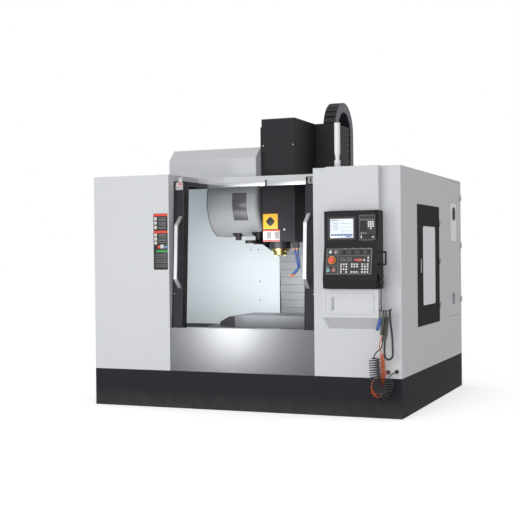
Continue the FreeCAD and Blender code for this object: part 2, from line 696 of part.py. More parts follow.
# ---- cross slides ---------------------------------------------------------------------------------------
def saddle_casting():
    """Long cross saddle with a trough for the X screw, runner blocks below and chip lips along both sides."""
    body = box(-SADDLE_HALF_X, SADDLE_HALF_X, SADDLE_FRONT_Y, SADDLE_BACK_Y, SADDLE_FOOT, SADDLE_TOP)
    wing = Y_RAIL_X + CARRIAGE_WIDTH
    under = []
    for side in (-1, 1):
        profile = [(side * wing, SADDLE_FOOT - 1), (side * (SADDLE_HALF_X + 1), SADDLE_FOOT - 1),
                   (side * (SADDLE_HALF_X + 1), SADDLE_FOOT + 30)]
        under.append(prism_y(profile, SADDLE_FRONT_Y - 1, SADDLE_BACK_Y + 1))
    trough = box(-SADDLE_HALF_X - 1, SADDLE_HALF_X + 1, SADDLE_CENTRE_Y - NUT_HALF - 6,
                 SADDLE_CENTRE_Y + NUT_HALF + 6, X_SCREW_Z - NUT_HALF - 4, SADDLE_TOP + 1)
    lips = []
    for y in (SADDLE_FRONT_Y, SADDLE_BACK_Y - 6):
        lips.append(box(-SADDLE_HALF_X, SADDLE_HALF_X, y, y + 6, SADDLE_TOP, TABLE_FOOT - 6))
    nut = box(-NUT_HALF, NUT_HALF, SADDLE_CENTRE_Y - 70, SADDLE_CENTRE_Y + 70, Y_SCREW_Z - NUT_HALF,
              SADDLE_FOOT)
    runners = []
    for side in (-1, 1):
        for dy in (-130, 130):
            runners.append(carriage(side * Y_RAIL_X, SADDLE_CENTRE_Y + dy, SADDLE_FOOT, "y"))
    bore = cyl(SCREW_RADIUS + SCREW_FIT, 200, (0, SADDLE_CENTRE_Y - 100, Y_SCREW_Z), (0, 1, 0))
    return cut(fuse([body, nut] + lips + runners).cut(under), [trough, bore])


def x_axis_drive():
    """X rails, ball screw and servo motor, all carried by the saddle."""
    pieces = []
    for side in (-1, 1):
        flat = [(y, z) for y, z in rail_section(SADDLE_CENTRE_Y + side * X_RAIL_Y, SADDLE_TOP)]
        pieces.append(prism_x(flat, -SADDLE_HALF_X + 10, SADDLE_HALF_X - 10))
    ends = []
    for side in (-1, 1):
        x0 = side * SADDLE_HALF_X - (25 if side > 0 else 0)
        ends.append(box(x0, x0 + 25, SADDLE_CENTRE_Y - NUT_HALF - 6, SADDLE_CENTRE_Y + NUT_HALF + 6,
                        X_SCREW_Z - NUT_HALF - 4, X_SCREW_Z + SCREW_RADIUS + 4))
    screw = cyl(SCREW_RADIUS, 2 * SADDLE_HALF_X, (-SADDLE_HALF_X, SADDLE_CENTRE_Y, X_SCREW_Z), (1, 0, 0))
    pieces.append(fuse(ends + [screw]))
    face_y = SADDLE_CENTRE_Y
    plate = box(SADDLE_HALF_X, SADDLE_HALF_X + 12, face_y - MOTOR_SIDE / 2, face_y + MOTOR_SIDE / 2,
                X_SCREW_Z - MOTOR_SIDE / 2, X_SCREW_Z + MOTOR_SIDE / 2)
    motor = servo_motor((SADDLE_HALF_X + 12, face_y, X_SCREW_Z), (1, 0, 0))
    pieces.append(fuse([plate, motor]))
    return group(pieces)


def table_span():
    """X of the table's two ends."""
    return TABLE_CENTRE_X - TABLE_LENGTH / 2, TABLE_CENTRE_X + TABLE_LENGTH / 2


def work_table():
    """Cross table with T-slots, a coolant gutter along each side, runner blocks and the X nut."""
    x0, x1 = table_span()
    y0 = SADDLE_CENTRE_Y - TABLE_WIDTH / 2
    y1 = SADDLE_CENTRE_Y + TABLE_WIDTH / 2
    body = box(x0, x1, y0, y1, TABLE_FOOT, TABLE_TOP)
    slots = []
    for i in range(TABLE_SLOTS):
        y = SADDLE_CENTRE_Y + (i - (TABLE_SLOTS - 1) / 2) * SLOT_PITCH
        neck = SLOT_WIDTH / 2
        head = SLOT_HEAD_WIDTH / 2
        z1 = TABLE_TOP - SLOT_NECK
        z0 = z1 - SLOT_HEAD_DEPTH
        profile = [(y - neck, TABLE_TOP + 1), (y - neck, z1), (y - head, z1), (y - head, z0), (y + head, z0),
                   (y + head, z1), (y + neck, z1), (y + neck, TABLE_TOP + 1)]
        slots.append(prism_x(profile, x0 - 1, x1 + 1))
    hollow = box(x0 + 60, x1 - 60, y0 + 25, y1 - 25, TABLE_FOOT - 1, TABLE_FOOT + 20)
    bearers = []
    for dx in (-TABLE_CARRIAGE_X, TABLE_CARRIAGE_X):
        cx = TABLE_CENTRE_X + dx
        bearers.append(box(cx - 75, cx + 75, y0 + 25, y1 - 25, TABLE_FOOT, TABLE_FOOT + 20))
        for side in (-1, 1):
            bearers.append(carriage(cx, SADDLE_CENTRE_Y + side * X_RAIL_Y, TABLE_FOOT, "x"))
    nut = box(TABLE_CENTRE_X - 80, TABLE_CENTRE_X + 80, SADDLE_CENTRE_Y - NUT_HALF,
              SADDLE_CENTRE_Y + NUT_HALF,
              X_SCREW_Z - NUT_HALF + 4, TABLE_FOOT + 20)
    bore = cyl(SCREW_RADIUS + SCREW_FIT, 400, (TABLE_CENTRE_X - 200, SADDLE_CENTRE_Y, X_SCREW_Z), (1, 0, 0))
    return cut(fuse([body.cut(slots + [hollow]), nut] + bearers), [bore])


def table_end_guards():
    """Sheet hoods at the table's ends that slope down over the X rails."""
    x0, x1 = table_span()
    y0 = SADDLE_CENTRE_Y - TABLE_WIDTH / 2
    y1 = SADDLE_CENTRE_Y + TABLE_WIDTH / 2
    guards = []
    for side, x in ((-1, x0), (1, x1)):
        far = x + side * END_GUARD_LENGTH
        knee = x + side * END_GUARD_LENGTH * 0.4
        z_hi = TABLE_TOP - 12
        z_lo = z_hi - END_GUARD_DROP
        skin = SHEET
        roof = [(x, z_hi), (knee, z_hi), (far, z_lo), (far, z_lo - skin), (knee, z_hi - skin),
                (x, z_hi - skin)]
        cheek = [(x, z_hi), (knee, z_hi), (far, z_lo), (far, z_lo - 40), (x, TABLE_FOOT + 2)]
        parts = [prism_y(roof, y0, y1), prism_y(cheek, y0, y0 + skin), prism_y(cheek, y1 - skin, y1)]
        guards.append(fuse(parts))
    return group(guards)


# ---- spindle head ---------------------------------------------------------------------------------------
def head_casting():
    """Box head that reaches forward to the spindle, with its back plate, runners, nut and chain bracket."""
    inset = COVER_SHEET + HEAD_INSET
    left = HEAD_LEFT + inset
    right = HEAD_RIGHT - inset
    front = SPINDLE_Y - NOSE_BLOCK_RADIUS
    side_view = [(front, HEAD_CAST_FOOT), (HEAD_PLATE_FRONT, HEAD_CAST_FOOT),
                 (HEAD_PLATE_FRONT, HEAD_CAST_TOP),
                 (HEAD_SEAT_BACK_Y + 130, HEAD_CAST_TOP), (HEAD_SEAT_BACK_Y, HEAD_SEAT), (front, HEAD_SEAT)]
    beam = prism_x(side_view, left, right)
    plate_back = COLUMN_FRONT_Y - RAIL_HEIGHT - RAIL_CLEAR - 6
    plate = box(-Z_RAIL_X - 45, Z_RAIL_X + 45, HEAD_PLATE_FRONT, plate_back,
                HEAD_CAST_FOOT + HEAD_LIFT, HEAD_CAST_TOP)
    runners = []
    for side in (-1, 1):
        for cz in (HEAD_CAST_FOOT + 110, HEAD_CAST_TOP - 90):
            runners.append(carriage(side * Z_RAIL_X, cz, plate_back, "z"))
    nut_z = (HEAD_CAST_FOOT + HEAD_CAST_TOP) / 2
    nut = box(-NUT_HALF, NUT_HALF, plate_back, Z_SCREW_Y + NUT_HALF - 10, nut_z - 70, nut_z + 70)
    stem_z = CHAIN_CENTRE_Z - CHAIN_FRONT_LINKS * chain_pitch()
    stem = box(right - 40, right, HEAD_PLATE_FRONT - 60, HEAD_PLATE_FRONT, HEAD_CAST_TOP - 20, stem_z)
    shelf = box(right - 40, CCOVER_RIGHT - 8, HEAD_PLATE_FRONT - 40, CHAIN_FRONT_Y + CHAIN_THICK / 2,
                stem_z - 16, stem_z)
    pocket = cyl(ROTOR_RADIUS + SLEEVE_WALL, HEAD_CAST_TOP, (0, SPINDLE_Y, HEAD_CAST_FOOT - 1), (0, 0, 1))
    bore = cyl(SCREW_RADIUS + SCREW_FIT, 400, (0, Z_SCREW_Y, nut_z - 200), (0, 0, 1))
    lugs = []
    for z in (HEAD_CAST_FOOT + 60, HEAD_SEAT - 60):
        for x0, x1 in ((HEAD_LEFT + COVER_SHEET, left), (right, HEAD_RIGHT - COVER_SHEET)):
            lugs.append(box(x0, x1, SPINDLE_Y + 90, SPINDLE_Y + 150, z - 20, z + 20))
    groove_x = SCREW_RADIUS + 4
    grooves = []
    for z0, z1 in ((HEAD_CAST_FOOT, nut_z - 70), (nut_z + 70, HEAD_CAST_TOP + 1)):
        grooves.append(box(-groove_x, groove_x, Z_SCREW_Y - groove_x, plate_back + 1, z0, z1))
    body = fuse([beam, plate, nut, stem, shelf] + runners + lugs)
    return cut(body, [pocket, bore] + grooves)


def head_cover():
    """Tall folded sheet cover round the head, open below and behind."""
    outer = box(HEAD_LEFT, HEAD_RIGHT, HEAD_FRONT_Y, HEAD_BACK_Y, HEAD_FOOT, HEAD_TOP)
    outer = vertical_round(outer, HEAD_ROUND, lambda x, y: y < HEAD_FRONT_Y + 1)
    inner = box(HEAD_LEFT + COVER_SHEET, HEAD_RIGHT - COVER_SHEET, HEAD_FRONT_Y + COVER_SHEET,
                HEAD_BACK_Y + 1,
                HEAD_FOOT + COVER_SHEET, HEAD_TOP - COVER_SHEET)
    mouth = cyl(NOSE_BLOCK_RADIUS + 2, 20, (0, SPINDLE_Y, HEAD_FOOT - 5), (0, 0, 1))
    shell = cut(outer, [inner, mouth])
    fold = HEAD_FRONT_Y + HEAD_ROUND
    sides = (HEAD_LEFT, HEAD_LEFT + COVER_SHEET, HEAD_RIGHT - COVER_SHEET, HEAD_RIGHT)
    levels = (HEAD_FOOT, HEAD_FOOT + COVER_SHEET, HEAD_TOP - COVER_SHEET, HEAD_TOP)
    plates = [box(HEAD_LEFT, HEAD_RIGHT, HEAD_FRONT_Y, fold, *levels[::3])]
    plates += [box(x0, x1, fold, HEAD_BACK_Y, *levels[::3]) for x0, x1 in (sides[:2], sides[2:])]
    plates += [box(sides[1], sides[2], fold, HEAD_BACK_Y, z0, z1) for z0, z1 in (levels[:2], levels[2:])]
    return group(sliced(shell, plates))


def spindle_motor():
    """Direct-drive motor above the spindle: finned case, flange and fan cap."""
    half = HEAD_MOTOR_SIDE / 2
    side = COVER_SHEET + HEAD_INSET
    z0 = HEAD_SEAT + HEAD_MOTOR_FOOT
    z1 = z0 + HEAD_MOTOR_LENGTH
    foot = box(HEAD_LEFT + side, HEAD_RIGHT - side, SPINDLE_Y - half, SPINDLE_Y + half, HEAD_SEAT, z0)
    case = box(-half, half, SPINDLE_Y - half, SPINDLE_Y + half, z0, z1)
    fins = []
    for i in range(FIN_COUNT):
        y = SPINDLE_Y + (i - (FIN_COUNT - 1) / 2) * FIN_PITCH
        for x in (-half - 1, half - FIN_DEPTH + 1):
            fins.append(box(x, x + FIN_DEPTH, y - FIN_WIDTH / 2, y + FIN_WIDTH / 2, z0 + FIN_INSET,
                            z1 - FIN_INSET))
    fan = cyl(FAN_RADIUS, FAN_HEIGHT, (0, SPINDLE_Y, z1), (0, 0, 1))
    return cut(fuse([foot, case, fan]), fins)


def spindle_housing():
    """Flanged cartridge: dark block, bolted ring and the bore that carries the rotor."""
    block = cyl(NOSE_BLOCK_RADIUS, HEAD_CAST_FOOT - NOSE_BLOCK_FOOT, (0, SPINDLE_Y, NOSE_BLOCK_FOOT),
                (0, 0, 1))
    sleeve = cyl(ROTOR_RADIUS + SLEEVE_WALL - FIT_GAP, SLEEVE_LENGTH, (0, SPINDLE_Y, HEAD_CAST_FOOT),
                 (0, 0, 1))
    ring = cyl(NOSE_RING_RADIUS, NOSE_BLOCK_FOOT - NOSE_RING_FOOT, (0, SPINDLE_Y, NOSE_RING_FOOT), (0, 0, 1))
    bolts = []
    for i in range(6):
        angle = math.radians(60 * i + 30)
        x = (NOSE_RING_RADIUS - 12) * math.cos(angle)
        y = SPINDLE_Y + (NOSE_RING_RADIUS - 12) * math.sin(angle)
        head = [(x + 7 * math.cos(math.radians(60 * k)),
                 y + 7 * math.sin(math.radians(60 * k))) for k in range(6)]
        bolts.append(prism_z(head, NOSE_RING_FOOT - 6, NOSE_RING_FOOT))
    bore = cyl(ROTOR_RADIUS + ROTOR_FIT, 400, (0, SPINDLE_Y, NOSE_TIP), (0, 0, 1))
    return cut(fuse([block, sleeve, ring] + bolts), [bore])


def spindle_rotor():
    """Rotating spindle: nose, shaft, tapered tool socket and two drive keys."""
    z1 = HEAD_CAST_FOOT + SLEEVE_LENGTH
    shaft = cyl(ROTOR_RADIUS, z1 - NOSE_TIP, (0, SPINDLE_Y, NOSE_TIP), (0, 0, 1))
    nose = cyl(NOSE_TIP_RADIUS, NOSE_RING_FOOT - 8 - NOSE_TIP, (0, SPINDLE_Y, NOSE_TIP), (0, 0, 1))
    nose = nose.makeChamfer(6, [e for e in nose.Edges if abs(e.BoundBox.ZMax - NOSE_TIP) < 0.01])
    taper = Part.makeCone(TAPER_MOUTH_RADIUS, TAPER_TOP_RADIUS, TAPER_DEPTH, Vector(0, SPINDLE_Y, NOSE_TIP),
                          Vector(0, 0, 1))
    keys = []
    for side in (-1, 1):
        x0 = side * (TAPER_MOUTH_RADIUS + 12) - 10
        keys.append(box(x0, x0 + 20, SPINDLE_Y - 8, SPINDLE_Y + 8, NOSE_TIP - 8, NOSE_TIP))
    return cut(fuse([shaft, nose] + keys), [taper])


def coolant_nozzles():
    """Manifold block under the head with two segmented hoses that point at the tool."""
    y = SPINDLE_Y - 30
    x0 = 136
    block = box(x0, x0 + 62, y - 24, y + 24, HEAD_FOOT - 62, HEAD_FOOT)
    pieces = [block]
    for start, knee, tip in (((152, 0, -62), (192, 0, -250), (122, 0, -318)),
                             ((184, 0, -62), (206, 0, -240), (150, 0, -312))):
        points = [Vector(p[0], y + p[1], HEAD_FOOT + p[2]) for p in (start, knee, tip)]
        legs = []
        for a, b in zip(points, points[1:]):
            run = b - a
            legs.append(Part.makeCylinder(8, run.Length, a, run))
        legs.append(Part.makeSphere(8, points[1]))
        end = points[2] - points[1]
        end.normalize()
        tip_cone = Part.makeCone(8, 4, 26, points[2], end)
        pieces.append(fuse(legs + [tip_cone]))
    return fuse(pieces)


def z_cover(stage, z0, z1):
    """One leaf of the telescopic cover below the head: a folded sheet with stiffening steps."""
    inset = stage * Z_COVER_STEP
    half = Z_COVER_HALF_X - inset
    y0 = Z_COVER_FRONT_Y + inset
    skin = 1.5
    outline = [(-half, y0), (half, y0), (half, y0 + Z_COVER_FLANGE), (half - skin, y0 + Z_COVER_FLANGE),
               (half - skin, y0 + skin), (-half + skin, y0 + skin), (-half + skin, y0 + Z_COVER_FLANGE),
               (-half, y0 + Z_COVER_FLANGE)]
    return prism_z(outline, z0, z1)


def z_cover_foot(stage):
    """Lower edge at rest: stages hang evenly between the fixed leaf and the head."""
    top_leaf = HEAD_FOOT - Z_COVER_LENGTH
    return GUARD_FOOT + (top_leaf - GUARD_FOOT) * (2 - stage) / 2


def z_cover_upper():
    """Leaf that hangs from the head, with the lug that bolts it to the head plate."""
    z0 = z_cover_foot(0)
    leaf = z_cover(0, z0, HEAD_FOOT)
    lug = box(-60, 60, HEAD_PLATE_FRONT + 4, Z_COVER_FRONT_Y + 1.5, HEAD_FOOT, HEAD_CAST_FOOT + HEAD_LIFT)
    strip = box(-60, 60, Z_COVER_FRONT_Y, Z_COVER_FRONT_Y + 1.5, HEAD_FOOT - 20, HEAD_FOOT)
    return fuse([leaf, strip, lug])


# ---- column cover and cable chain -----------------------------------------------------------------------
def column_cover():
    """Sheet housing round the column's top, with a front slot for the head and a slot for the chain."""
    outer = box(CCOVER_LEFT, CCOVER_RIGHT, CCOVER_FRONT_Y, CCOVER_REAR_Y, ENC_HEIGHT, HEAD_TOP)
    inner = box(CCOVER_LEFT + COVER_SHEET, CCOVER_RIGHT - COVER_SHEET, CCOVER_FRONT_Y + COVER_SHEET,
                CCOVER_REAR_Y - COVER_SHEET, ENC_HEIGHT - 1, HEAD_TOP - COVER_SHEET)
    slot = box(HEAD_LEFT - 3, HEAD_RIGHT + 3, CCOVER_FRONT_Y - 1, CCOVER_FRONT_Y + COVER_SHEET + 1,
               ENC_HEIGHT - 1, HEAD_TOP - 40)
    x1 = CCOVER_RIGHT - 3
    way = box(x1 - CHAIN_WIDTH - 6, x1 + 1, CHAIN_FRONT_Y - CHAIN_THICK / 2 - 5,
              CHAIN_FRONT_Y + CHAIN_THICK / 2 + CHAIN_SWEEP,
              HEAD_TOP - 10, HEAD_TOP + 1)
    rim = box(x1 - 2, CCOVER_RIGHT, CHAIN_FRONT_Y - CHAIN_THICK / 2 - 5,
              CHAIN_FRONT_Y + CHAIN_THICK / 2 + CHAIN_SWEEP,
              HEAD_TOP - 10, HEAD_TOP + 1)
    x0 = CCOVER_RIGHT - 4 - CHAIN_WIDTH
    foot = CHAIN_CENTRE_Z - CHAIN_BACK_LINKS * chain_pitch()
    far = CHAIN_FRONT_Y + 2 * CHAIN_RADIUS + CHAIN_THICK / 2
    bracket = box(x0, x0 + CHAIN_WIDTH, CCOVER_REAR_Y - 1, far, foot - 12, foot)
    return fuse([cut(outer, [inner, slot, way, rim]), bracket])


def chain_pitch():
    """Length of one link along the centre line."""
    return math.pi * CHAIN_RADIUS / CHAIN_ARC_LINKS


def chain_link(a_lo, a_hi):
    """Frame-shaped link between two cross-section lines, each given as its inner and outer point."""
    x0 = CCOVER_RIGHT - 4 - CHAIN_WIDTH
    x1 = x0 + CHAIN_WIDTH
    (i0, o0), (i1, o1) = a_lo, a_hi
    plates = []
    for x in (x0, x1 - CHAIN_PLATE):
        plates.append(prism_x([i0, o0, o1, i1], x, x + CHAIN_PLATE))

    def between(p, q, t):
        return (p[0] + (q[0] - p[0]) * t, p[1] + (q[1] - p[1]) * t)

    depth = CHAIN_STAY / CHAIN_THICK
    lo = (1 - CHAIN_STAY_SHARE) / 2
    hi = 1 - lo
    stays = []
    for t0, t1 in ((0.0, depth), (1 - depth, 1.0)):
        corners = [between(between(i0, i1, s), between(o0, o1, s), t) for s, t in
                   ((lo, t0), (lo, t1), (hi, t1), (hi, t0))]
        stays.append(prism_x(corners, x0 + CHAIN_PLATE, x1 - CHAIN_PLATE))
    return fuse(plates + stays)


def cable_chain():
    """Drag chain that rises beside the head, arches over and comes down behind the column cover."""
    pitch = chain_pitch()
    centre_y = CHAIN_FRONT_Y + CHAIN_RADIUS
    half = CHAIN_THICK / 2
    lines = []
    for i in range(CHAIN_FRONT_LINKS, 0, -1):
        z = CHAIN_CENTRE_Z - i * pitch
        lines.append(((CHAIN_FRONT_Y + half, z), (CHAIN_FRONT_Y - half, z)))
    for i in range(CHAIN_ARC_LINKS + 1):
        angle = math.pi - math.pi * i / CHAIN_ARC_LINKS
        ring = []
        for radius in (CHAIN_RADIUS - half, CHAIN_RADIUS + half):
            ring.append((centre_y + radius * math.cos(angle), CHAIN_CENTRE_Z + radius * math.sin(angle)))
        lines.append((ring[0], ring[1]))
    for i in range(1, CHAIN_BACK_LINKS + 1):
        z = CHAIN_CENTRE_Z - i * pitch
        y = centre_y + CHAIN_RADIUS
        lines.append(((y - half, z), (y + half, z)))
    return group([chain_link(a, b) for a, b in zip(lines, lines[1:])])


# ---- tool magazine --------------------------------------------------------------------------------------
def magazine_cover():
    """Drum-shaped cover with a rounded right rim, a front window and an open underside."""
    outer = cyl(DRUM_RADIUS, DRUM_RIGHT - DRUM_LEFT, (DRUM_LEFT, DRUM_Y, DRUM_Z), (1, 0, 0))
    rim = [e for e in outer.Edges if abs(e.BoundBox.XMin - DRUM_RIGHT) < 0.01 and e.BoundBox.ZLength > 10]
    outer = outer.makeFillet(DRUM_ROUND, rim)
    inner = cyl(DRUM_RADIUS - DRUM_SHEET, DRUM_RIGHT - DRUM_LEFT - 2 * DRUM_SHEET,
                (DRUM_LEFT + DRUM_SHEET, DRUM_Y, DRUM_Z), (1, 0, 0))
    rim = [e for e in inner.Edges if e.BoundBox.XMin > DRUM_RIGHT - 2 * DRUM_SHEET and e.BoundBox.ZLength > 10]
    inner = inner.makeFillet(DRUM_ROUND - DRUM_SHEET, rim)
    floor = box(DRUM_LEFT - 1, DRUM_RIGHT + 1, DRUM_Y - DRUM_RADIUS, DRUM_Y + DRUM_RADIUS,
                DRUM_Z - DRUM_RADIUS - 1, DRUM_CUT_Z)
    window = box(WINDOW_LEFT, WINDOW_RIGHT, DRUM_Y - DRUM_RADIUS - 1, DRUM_Y - DRUM_RADIUS / 2,
                 WINDOW_LOW, WINDOW_HIGH)
    way = box(ARM_X - 115, ARM_X - 45, DRUM_Y + 100, DRUM_Y + DRUM_RADIUS + 1, DRUM_Z - 85, DRUM_Z + 75)
    pot_x = ARM_X - ARM_REACH
    pot_way = box(pot_x - 50, pot_x + 50, SPINDLE_Y - 50, SPINDLE_Y + 50, DRUM_CUT_Z, DRUM_Z - 250)
    shaft_way = box(ARM_X - 60, ARM_X + 60, SPINDLE_Y - 60, SPINDLE_Y + 60, DRUM_CUT_Z - 40, DRUM_Z - 250)
    shell = cut(outer, [inner, floor, window, way, pot_way, shaft_way])
    tabs = []
    for y0 in (DRUM_Y - DRUM_RADIUS - 20, DRUM_Y + 258):
        tabs.append(box(WINDOW_LEFT - 30, WINDOW_LEFT, y0, y0 + 107, ROOF_UNDER - 6, ROOF_UNDER))
    shell = fuse([shell] + [t.cut(cyl(DRUM_RADIUS - 2, 900, (DRUM_LEFT - 100, DRUM_Y, DRUM_Z),
                                      (1, 0, 0))) for t in tabs])
    band = cut(cyl(DRUM_RADIUS - 0.5, WINDOW_RIGHT - WINDOW_LEFT, (WINDOW_LEFT, DRUM_Y, DRUM_Z), (1, 0, 0)),
               [cyl(DRUM_RADIUS - DRUM_SHEET, 400, (WINDOW_LEFT - 100, DRUM_Y, DRUM_Z), (1, 0, 0))])
    pane = band.common(box(WINDOW_LEFT, WINDOW_RIGHT, DRUM_Y - DRUM_RADIUS - 1, DRUM_Y, WINDOW_LOW,
                           WINDOW_HIGH))
    walls = (DRUM_LEFT, DRUM_LEFT + DRUM_SHEET, DRUM_RIGHT - DRUM_ROUND, DRUM_RIGHT)
    reach = DRUM_RADIUS + 2 * DRUM_ROUND
    slabs = [box(x0, x1, DRUM_Y - reach, DRUM_Y + reach, DRUM_Z - reach, DRUM_Z + reach)
             for x0, x1 in zip(walls, walls[1:])]
    return group(sliced(shell, slabs) + [pane])


def magazine_disc():
    """Disc on a hub with its ring of tool pots."""
    hub = cyl(HUB_RADIUS, HUB_LENGTH, (DISC_LEFT, DRUM_Y, DRUM_Z), (1, 0, 0))
    disc = cyl(DISC_RADIUS, DISC_THICK, (DISC_LEFT, DRUM_Y, DRUM_Z), (1, 0, 0))
    pots = []
    bores = []
    for i in range(POT_COUNT):
        angle = 2 * math.pi * (i + 0.5) / POT_COUNT
        y = DRUM_Y + POT_RING * math.cos(angle)
        z = DRUM_Z + POT_RING * math.sin(angle)
        for radius, x0, x1, store in ((POT_RADIUS, DISC_LEFT - POT_LENGTH / 2, DISC_LEFT + POT_LENGTH / 2,
                                       pots),
                                      (POT_BORE, DISC_LEFT - POT_LENGTH, DISC_LEFT, bores)):
            ring = []
            for k in range(8):
                turn = angle + math.pi * (k + 0.5) / 4
                ring.append((y + radius * math.cos(turn), z + radius * math.sin(turn)))
            store.append(prism_x(ring, x0, x1))
    bore = cyl(AXLE_RADIUS + SCREW_FIT, HUB_LENGTH + 2, (DISC_LEFT - 1, DRUM_Y, DRUM_Z), (1, 0, 0))
    return cut(fuse([hub, disc] + pots), bores + [bore])


def changer_gearbox():
    """Cam box of the tool changer, with the magazine's axle and the arm that bolts it to the column."""
    x0 = ARM_X - 70
    x1 = ARM_X + 50
    case = box(x0, x1, DRUM_Y - 200, DRUM_Y + 160, DRUM_Z - 245, DRUM_Z + 70)
    axle = cyl(AXLE_RADIUS, x0 - DISC_LEFT + 20, (DISC_LEFT - 20, DRUM_Y, DRUM_Z), (1, 0, 0))
    collar = cyl(AXLE_RADIUS + 12, x0 - DISC_LEFT - HUB_LENGTH - 4,
                 (DISC_LEFT + HUB_LENGTH + 4, DRUM_Y, DRUM_Z), (1, 0, 0))
    arm = box(x0 - 40, x0 + 20, DRUM_Y + 100, COLUMN_FRONT_Y + 120, DRUM_Z - 80, DRUM_Z + 70)
    flange = box(x0 - 40, -COLUMN_HALF_X, COLUMN_FRONT_Y + 10, COLUMN_FRONT_Y + 160, DRUM_Z - 130,
                 DRUM_Z + 120)
    mount = cyl(ARM_SHAFT_RADIUS + 14, 24, (ARM_X, SPINDLE_Y, DRUM_Z - 269), (0, 0, 1))
    bore = cyl(ARM_SHAFT_RADIUS + SCREW_FIT, 170, (ARM_X, SPINDLE_Y, DRUM_Z - 270), (0, 0, 1))
    return cut(fuse([case, axle, collar, arm, flange, mount]), [bore])


def lowered_pot():
    """Pot swung down over the arm's circle, on the bracket that reaches it from the cam box."""
    pot = cyl(POT_RADIUS, POT_LENGTH, (ARM_X - ARM_REACH, SPINDLE_Y, ARM_LOW + ARM_THICK + 5), (0, 0, 1))
    bore = cyl(POT_BORE, POT_LENGTH - 20, (ARM_X - ARM_REACH, SPINDLE_Y, ARM_LOW + ARM_THICK + 4), (0, 0, 1))
    top = ARM_LOW + ARM_THICK + 5 + POT_LENGTH
    bracket = box(ARM_X - ARM_REACH - 15, ARM_X - 70, SPINDLE_Y - 12, SPINDLE_Y + 12, top, DRUM_Z - 228)
    return fuse([pot.cut(bore), bracket])


def changer_shaft():
    """Shaft that carries the change arm up and down, with a keeper below the arm."""
    shaft = cyl(ARM_SHAFT_RADIUS, DRUM_Z - 110 - ARM_LOW - ARM_THICK,
                (ARM_X, SPINDLE_Y, ARM_LOW + ARM_THICK), (0, 0, 1))
    neck = cyl(ARM_NECK_RADIUS, ARM_THICK, (ARM_X, SPINDLE_Y, ARM_LOW), (0, 0, 1))
    keeper = cyl(ARM_SHAFT_RADIUS, ARM_KEEPER, (ARM_X, SPINDLE_Y, ARM_LOW - ARM_KEEPER), (0, 0, 1))
    return fuse([shaft, neck, keeper])


def changer_arm():
    """Double-ended change arm with an open gripper at each end."""
    web = [cyl(ARM_SHAFT_RADIUS + 16, ARM_THICK, (ARM_X, SPINDLE_Y, ARM_LOW), (0, 0, 1))]
    cuts = [cyl(ARM_NECK_RADIUS + SCREW_FIT, ARM_THICK + 2, (ARM_X, SPINDLE_Y, ARM_LOW - 1), (0, 0, 1))]
    for side in (-1, 1):
        y = SPINDLE_Y + side * ARM_REACH
        outline = [(ARM_X - 45, SPINDLE_Y), (ARM_X + 45, SPINDLE_Y), (ARM_X + 26, y - side * 45),
                   (ARM_X - 26, y - side * 45)]
        web.append(prism_z(outline, ARM_LOW, ARM_LOW + ARM_THICK))
        web.append(cyl(GRIP_RADIUS, ARM_THICK, (ARM_X, y, ARM_LOW), (0, 0, 1)))
        cuts.append(cyl(GRIP_BORE, ARM_THICK + 2, (ARM_X, y, ARM_LOW - 1), (0, 0, 1)))
        throat = side * 60
        cuts.append(box(min(ARM_X, ARM_X + throat), max(ARM_X, ARM_X + throat), y - GRIP_BORE * 0.85,
                        y + GRIP_BORE * 0.85, ARM_LOW - 1, ARM_LOW + ARM_THICK + 1))
    return cut(fuse(web), cuts)


def magazine_hood():
    """Raised roof guard over the magazine, folded back along its front edge."""
    side = [(HOOD_FRONT_Y, ENC_HEIGHT), (HOOD_FRONT_Y, HOOD_FOLD_Z),
            (HOOD_FRONT_Y + HOOD_SLOPE_RUN, HOOD_TOP),
            (HOOD_BACK_Y, HOOD_TOP), (HOOD_BACK_Y, ENC_HEIGHT)]
    outer = prism_x(side, HOOD_LEFT, HOOD_RIGHT)
    s = SHEET
    inner_side = [(HOOD_FRONT_Y + s, ENC_HEIGHT - 1), (HOOD_FRONT_Y + s, HOOD_FOLD_Z - 0.4 * s),
                  (HOOD_FRONT_Y + HOOD_SLOPE_RUN + 0.4 * s, HOOD_TOP - s), (HOOD_BACK_Y - s, HOOD_TOP - s),
                  (HOOD_BACK_Y - s, ENC_HEIGHT - 1)]
    inner = prism_x(inner_side, HOOD_LEFT + s, HOOD_RIGHT - s)
    return cut(outer, [inner])


# ---- sheet-metal enclosure ------------------------------------------------------------------------------
def tray(x0, x1, y0, y1, z0, z1, side):
    """Folded panel: a skin with a hem round its edge, open towards the named side."""
    outer = box(x0, x1, y0, y1, z0, z1)
    lo = [x0 + SHEET, y0 + SHEET, z0 + SHEET]
    hi = [x1 - SHEET, y1 - SHEET, z1 - SHEET]
    axis = "xyz".index(side[1])
    if side[0] == "+":
        hi[axis] = hi[axis] + 2 * SHEET
    else:
        lo[axis] = lo[axis] - 2 * SHEET
    return outer.cut(box(lo[0], hi[0], lo[1], hi[1], lo[2], hi[2]))


def door_face(z):
    """Y of a sliding door's outer face at height z."""
    share = (z - APRON_TOP) / (DOOR_TOP - APRON_TOP)
    return DOOR_FOOT_Y + share * (DOOR_HEAD_Y - DOOR_FOOT_Y)


